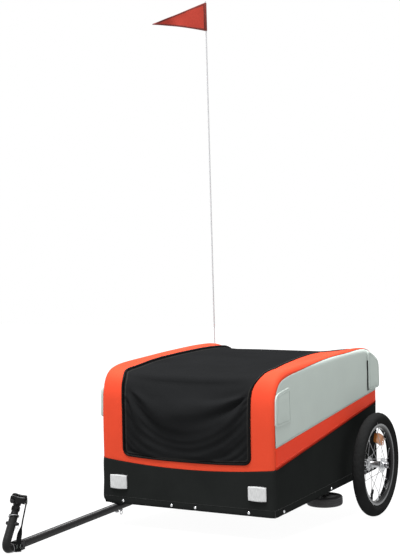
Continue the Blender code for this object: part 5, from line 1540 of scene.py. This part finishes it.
def jaw_block(name, y_front, y_back, low, body, node, teeth_front, mat):
    """Clamp jaw: crest line on top, rounded edges, grip ribs on one face."""
    nx, nz = 45, 16
    xs = np.linspace(HX0, HX1, nx)
    ring_rows = []
    for z01 in np.linspace(0, 1, nz):
        top_z = crest(xs)
        z = low + (top_z - low) * z01
        edge = np.minimum(z01, 1 - z01) * 2
        rnd = 0.0016 * (1 - math.sqrt(max(0.0, 1 - max(0.0, 1 - min(z01, 1 - z01) / 0.10) ** 2)))
        ends = 0.0016 * (1 - np.sqrt(np.maximum(0.0, 1 - np.maximum(0.0, 1 - np.minimum(xs - HX0, HX1 - xs) / 0.0030) ** 2)))
        ribs = 0.0006 * (np.abs(((xs - HX0) / 0.0055) % 1.0 - 0.5) < 0.25) * (0.12 < z01 < 0.85)
        f = y_front + rnd + ends - (0.0 if not teeth_front else 0.0)
        b = y_back - rnd - ends
        if teeth_front:
            f = f + ribs
        else:
            b = b - ribs
        front = np.stack([xs, f, z], -1)
        back = np.stack([xs[::-1], b[::-1], z[::-1]], -1)
        ring_rows.append(np.concatenate([front, back], 0))
    P = turned(np.array(ring_rows))
    return grid(name, P, body, [mat], replaces=(node,) if node else (), wrap_u=True, caps=False, sharp=40)


def closed_jaw(name, y_front, y_back, low, body, node, teeth_front, mat):
    ob = jaw_block(name, y_front, y_back, low, body, node, teeth_front, mat)
    bm = bmesh.new()
    bm.from_mesh(ob.data)
    bmesh.ops.holes_fill(bm, edges=[e for e in bm.edges if e.is_boundary], sides=0)
    bmesh.ops.triangulate(bm, faces=[f for f in bm.faces if len(f.verts) > 4])
    bmesh.ops.recalc_face_normals(bm, faces=bm.faces)
    bm.to_mesh(ob.data)
    bm.free()
    ob.data.shade_smooth()
    ob.data.set_sharp_from_angle(angle=math.radians(38))
    return ob


closed_jaw("clamp_wall", -1.3320, -1.3220, 0.2790, "hitch_head", "hitch_head", True, PLASTIC)
closed_jaw("clamp_jaw_block", -1.3560, -1.3490, 0.2745, "hitch_jaw", "hitch_jaw", False, PLASTIC)


def rounded_block(name, lo, hi, r, body, mat, seg=3):
    me = bpy.data.meshes.new(name)
    bm = bmesh.new()
    bmesh.ops.create_cube(bm, size=1.0)
    lo, hi = np.array(lo), np.array(hi)
    for v in bm.verts:
        v.co = Vector((lo + hi) / 2 + np.array(v.co) * (hi - lo))
    bmesh.ops.bevel(bm, geom=list(bm.edges) + list(bm.verts), offset=r, segments=seg, profile=0.5, affect="EDGES")
    for v in bm.verts:
        v.co = Vector(world(turned(np.array(v.co))))
    bm.to_mesh(me)
    bm.free()
    me.shade_smooth()
    me.set_sharp_from_angle(angle=math.radians(50))
    me.uv_layers.new(name="metric")
    return finish_mesh(name, me, body, [mat])


rounded_block("clamp_base", (HX0, -1.3405, 0.2745), (HX1, -1.3220, 0.2835), 0.0018, "hitch_head", PLASTIC)
rounded_block("clamp_web", (DRAW_X - 0.0125, -1.3398, 0.2600), (DRAW_X + 0.0125, -1.3240, 0.2765), 0.0020, "hitch_head",
              PLASTIC)
neck = [(0.0078, 0.0535), (0.0088, 0.0525), (0.0090, 0.0435), (0.0118, 0.0400), (0.0106, 0.0385), (0.0106, 0.0345), (0.0118, 0.0330),
        (0.0118, 0.0270), (0.0106, 0.0255), (0.0106, 0.0215), (0.0118, 0.0200), (0.0118, 0.0120), (0.0124, 0.0100),
        (0.0126, 0.0050), (0.0118, 0.0042), (0.0, 0.0042)]
revolve("clamp_neck", neck, on_arm(0.0), (0, ARM_DIR[0], ARM_DIR[1]), 44, "hitch_head", [PLASTIC],
        sharp=30)
# side lobes on the neck, as moulded, and a round boss with a countersunk screw in front
for sx, nm in ((-1, "left"), (1, "right")):
    q = on_arm(0.0250)
    tube("clamp_lobe_" + nm, turned(np.array([q + np.array([sx * 0.0095, 0, 0]), q + np.array([sx * 0.0130, 0, 0]),
                                              q + np.array([sx * 0.0136, 0, 0])])), np.array([0.0085, 0.0080, 0.0066]),
         "hitch_head", PLASTIC, sides=20)
BOSS_AXIS = turned_dir(np.array([0.0, -ARM_DIR[1], ARM_DIR[0]]))
boss = [(0.0, 0.0125), (0.0046, 0.0125), (0.0052, 0.0142), (0.0078, 0.0142), (0.0086, 0.0134), (0.0088, 0.0060),
        (0.0, 0.0060)]
revolve("clamp_boss", boss, on_arm(0.0265), BOSS_AXIS, 36, "hitch_head", [PLASTIC], sharp=30)
screw = [(0.0, 0.0138), (0.0022, 0.0136), (0.0040, 0.0128), (0.0043, 0.0121), (0.0, 0.0121)]
revolve("clamp_boss_screw", screw, on_arm(0.0265), BOSS_AXIS, 24, "hitch_head", [PAINT_SATIN], sharp=40)
# screw and knurled knob
knob = [(0.0, 0.0044), (0.0048, 0.0044), (0.0061, 0.0036), (0.0065, 0.0024), (0.0065, -0.0030), (0.0060, -0.0040),
        (0.0030, -0.0043), (0.0030, -0.0290), (0.0024, -0.0296), (0.0, -0.0296)]


def knurl(r, h, k):
    d = 0.00045 * (1 if k % 4 < 2 else -1)
    return np.where((r > 0.0060) & (np.abs(h) < 0.0031), r + d, r), h


revolve("clamp_knob", knob, turned((CLAMP_X, -1.3606, CLAMP_Z)), turned_dir((0, -1, 0)), 72, "hitch_knob", [PAINT_SATIN],
        ("hitch_knob",), displace=knurl, sharp=35)


# safety strap: webbing with sewn ends, edge on above and broadside below
STRAP = [(-0.2648, -1.3370, 0.2880), (-0.2652, -1.3375, 0.2730), (-0.2690, -1.3400, 0.2540),
         (-0.2712, -1.3440, 0.2366), (-0.2733, -1.3490, 0.2180), (-0.2738, -1.3540, 0.2020),
         (-0.2755, -1.3610, 0.1840), (-0.2778, -1.3670, 0.1617), (-0.2780, -1.3700, 0.1389),
         (-0.2783, -1.3700, 0.1170)]


def strap():
    sp = resample(catmull(STRAP, 8), 60)
    t = np.gradient(sp, axis=0)
    t /= np.linalg.norm(t, axis=1)[:, None]
    turn = np.radians(-69.0 - 74.0 * smoothstep(0.2020, 0.1600, sp[:, 2]))
    wide = np.stack([np.cos(turn), np.sin(turn), np.zeros(60)], 1)
    n = np.cross(t, wide)
    n /= np.linalg.norm(n, axis=1)[:, None]
    across = np.cross(n, t)
    rows = []
    for i in range(60):
        f = i / 59
        thick = 0.0010 + 0.0009 * (float(smoothstep(0.14, 0.10, f)) + float(smoothstep(0.86, 0.90, f)))
        w = 0.0082
        ring = []
        for k in range(16):
            a = 2 * math.pi * k / 16
            q = (abs(math.cos(a)) ** 6 + abs(math.sin(a)) ** 6) ** (-1 / 6)
            ring.append(sp[i] + across[i] * w * math.cos(a) * q + n[i] * thick * math.sin(a) * q)
        rows.append(ring)
    ob = grid("strap_webbing", np.array(rows), None, [WEBBING], replaces=("safety_strap",),
              wrap_u=True, caps=True, sharp=50)
    world(np.array(STRAP[1]))
    world(np.array(STRAP[6]))
    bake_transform(ob)
    n_out = n * np.sign(n @ np.array([1.0, -1.0, 0.0]))[:, None]
    for nm, lo, hi, w in (("upper", 2, 8, "hitch_head"), ("lower", 51, 57, "hitch_arm")):
        for off, tag in ((-0.0055, "a"), (0.0055, "b")):
            line = sp[lo:hi] + across[lo:hi] * off + n_out[lo:hi] * 0.0021
            stitches("stitch_strap_%s_%s" % (nm, tag), line, n_out[lo:hi], w, THREAD_GREY,
                     pitch=0.0042, length=0.0028, width=0.0007)


strap()

# thin ring where the tube ends at the socket block, in black satin paint
revolve("drawbar_end_ring", [(0.0142, 0.0016), (0.0152, 0.0010), (0.0152, -0.0010), (0.0142, -0.0016)],
        (DRAW_X, -1.3168, 0.1280), (0, -1, 0), 44, ROOT, [PAINT_SATIN], closed=True, sharp=35)

# ===================================================================== flag
def flag():
    low, high = 1.9380, 2.0540
    tip = np.array([-0.2255, -0.0130])
    nu, nv = 46, 26
    ang = math.radians(20.0)
    d = np.array([-math.cos(ang), -math.sin(ang), 0.0])
    side = np.array([-d[1], d[0], 0.0])
    base = np.array([POLE_X, POLE_Y, 0.0])
    rows = []
    for j in range(nv):
        b = j / (nv - 1)
        z0 = low + (high - low) * b
        row = []
        for i in range(nu):
            a = i / (nu - 1)
            r = 0.0036 + (0.2255 - 0.0036) * a
            zt = 1.9755 + 0.0022 * (b - 0.5)
            z = z0 + (zt - z0) * a
            # slight hollow of the lower edge
            z += 0.0045 * math.sin(math.pi * a) * (1 - b) * 0.9
            wave = 0.0042 * math.sin(7.0 * a + 1.8 * b) * a ** 0.8 + 0.0020 * math.sin(15 * a - 3.0 * b) * a
            row.append(base + d * r + side * wave + np.array([0, 0, z]))
        rows.append(row)
    P = np.array(rows)
    hem_u, hem_v = 2, 1

    def index(i, j):
        a, b = (j + 0.5) / (nu - 1), (i + 0.5) / (nv - 1)
        tall = (high - low) * (1 - a) + 0.0022 * a
        return 1 if (min(b, 1 - b) * tall < 0.0075 or j < 1 or a > 0.94) else 0
    ob = grid("flag_cloth", P, "flag", [RED, RED_HEM], thickness=0.0008, index=index)
    # sleeve round the pole
    prof = [(0.0043, 0.0576), (0.0046, 0.0570), (0.0046, -0.0570), (0.0043, -0.0576), (0.0036, -0.0576), (0.0036, 0.0576)]
    revolve("flag_sleeve", prof, (POLE_X, POLE_Y, 1.996), (0, 0, 1), 24, "flag", [RED_HEM], ("flag",),
            closed=True, sharp=40)
    for k, nm in ((1, "low"), (nv - 2, "high")):
        n = np.tile(side, (nu, 1))
        stitches("stitch_flag_" + nm, P[k] + side * 0.0005, n, "flag", RED_HEM and THREAD_DARK, pitch=0.006,
                 length=0.004, width=0.0006, lift=0.0003)


flag()
cap = [(0.0, 0.0062), (0.0020, 0.0060), (0.0036, 0.0050), (0.0040, 0.0035), (0.0040, -0.0060), (0.0030, -0.0060),
       (0.0030, 0.0), (0.0, 0.0)]


# ===================================================================== support wheel
def support():
    c = np.array([0.278, -0.184, 0.0875])
    prof = [(0.0155, 0.0150), (0.0185, 0.0172), (0.0420, 0.0160), (0.0450, 0.0174), (0.0600, 0.0175), (0.0660, 0.0160),
            (0.0690, 0.0120), (0.0690, 0.0100), (0.0678, 0.0094), (0.0678, 0.0078), (0.0690, 0.0072), (0.0695, 0.0030),
            (0.0683, 0.0024), (0.0683, -0.0010), (0.0695, -0.0016), (0.0695, -0.0062), (0.0683, -0.0068),
            (0.0683, -0.0084), (0.0690, -0.0090), (0.0688, -0.0122), (0.0660, -0.0160), (0.0600, -0.0175),
            (0.0450, -0.0174), (0.0420, -0.0160), (0.0185, -0.0172), (0.0155, -0.0150), (0.0058, -0.0150), (0.0058, 0.0150)]
    inner = {0, 1, 2, 22, 23, 24, 25, 26, 27}
    # the tyre takes the lightened disc colour: painted light against the shade under the body
    revolve("support_wheel_tyre", prof, c, (0, 0, 1), 80, "support_wheel", [DISC_PAINTED_LIGHT, PLASTIC],
            ("support_wheel",), closed=True, index=lambda i, j: 1 if j in inner else 0, sharp=35)


support()


# ===================================================================== CAD nodes that are shown as they are
def finish_node(node, mat, bevel=None):
    ob = frame["nodes"][node]
    me = ob.data
    me.materials.clear()
    me.materials.append(mat)
    if bevel:
        m = ob.modifiers.new("edge", "BEVEL")
        m.width = bevel
        m.segments = 2
        m.limit_method = "ANGLE"
        m.angle_limit = math.radians(50)


for node in ("frame_rail_left", "frame_rail_right", "crossbar_front", "crossbar_mid", "crossbar_axle", "crossbar_rear",
             "top_bar_front", "top_bar_rear", "side_hoop_left", "side_hoop_right", "support_arm"):
    finish_node(node, PAINT_SATIN)
finish_node("drawbar", TUBE)
finish_node("floor_board", BOARD)
for node in ("drawbar_bolt_front", "drawbar_bolt_rear", "drawbar_pin"):
    finish_node(node, STEEL)
finish_node("hitch_fork", PAINT_SATIN)
finish_node("hitch_socket", PLASTIC)
finish_node("flag_socket", PLASTIC)
finish_node("flag_pole", POLE)
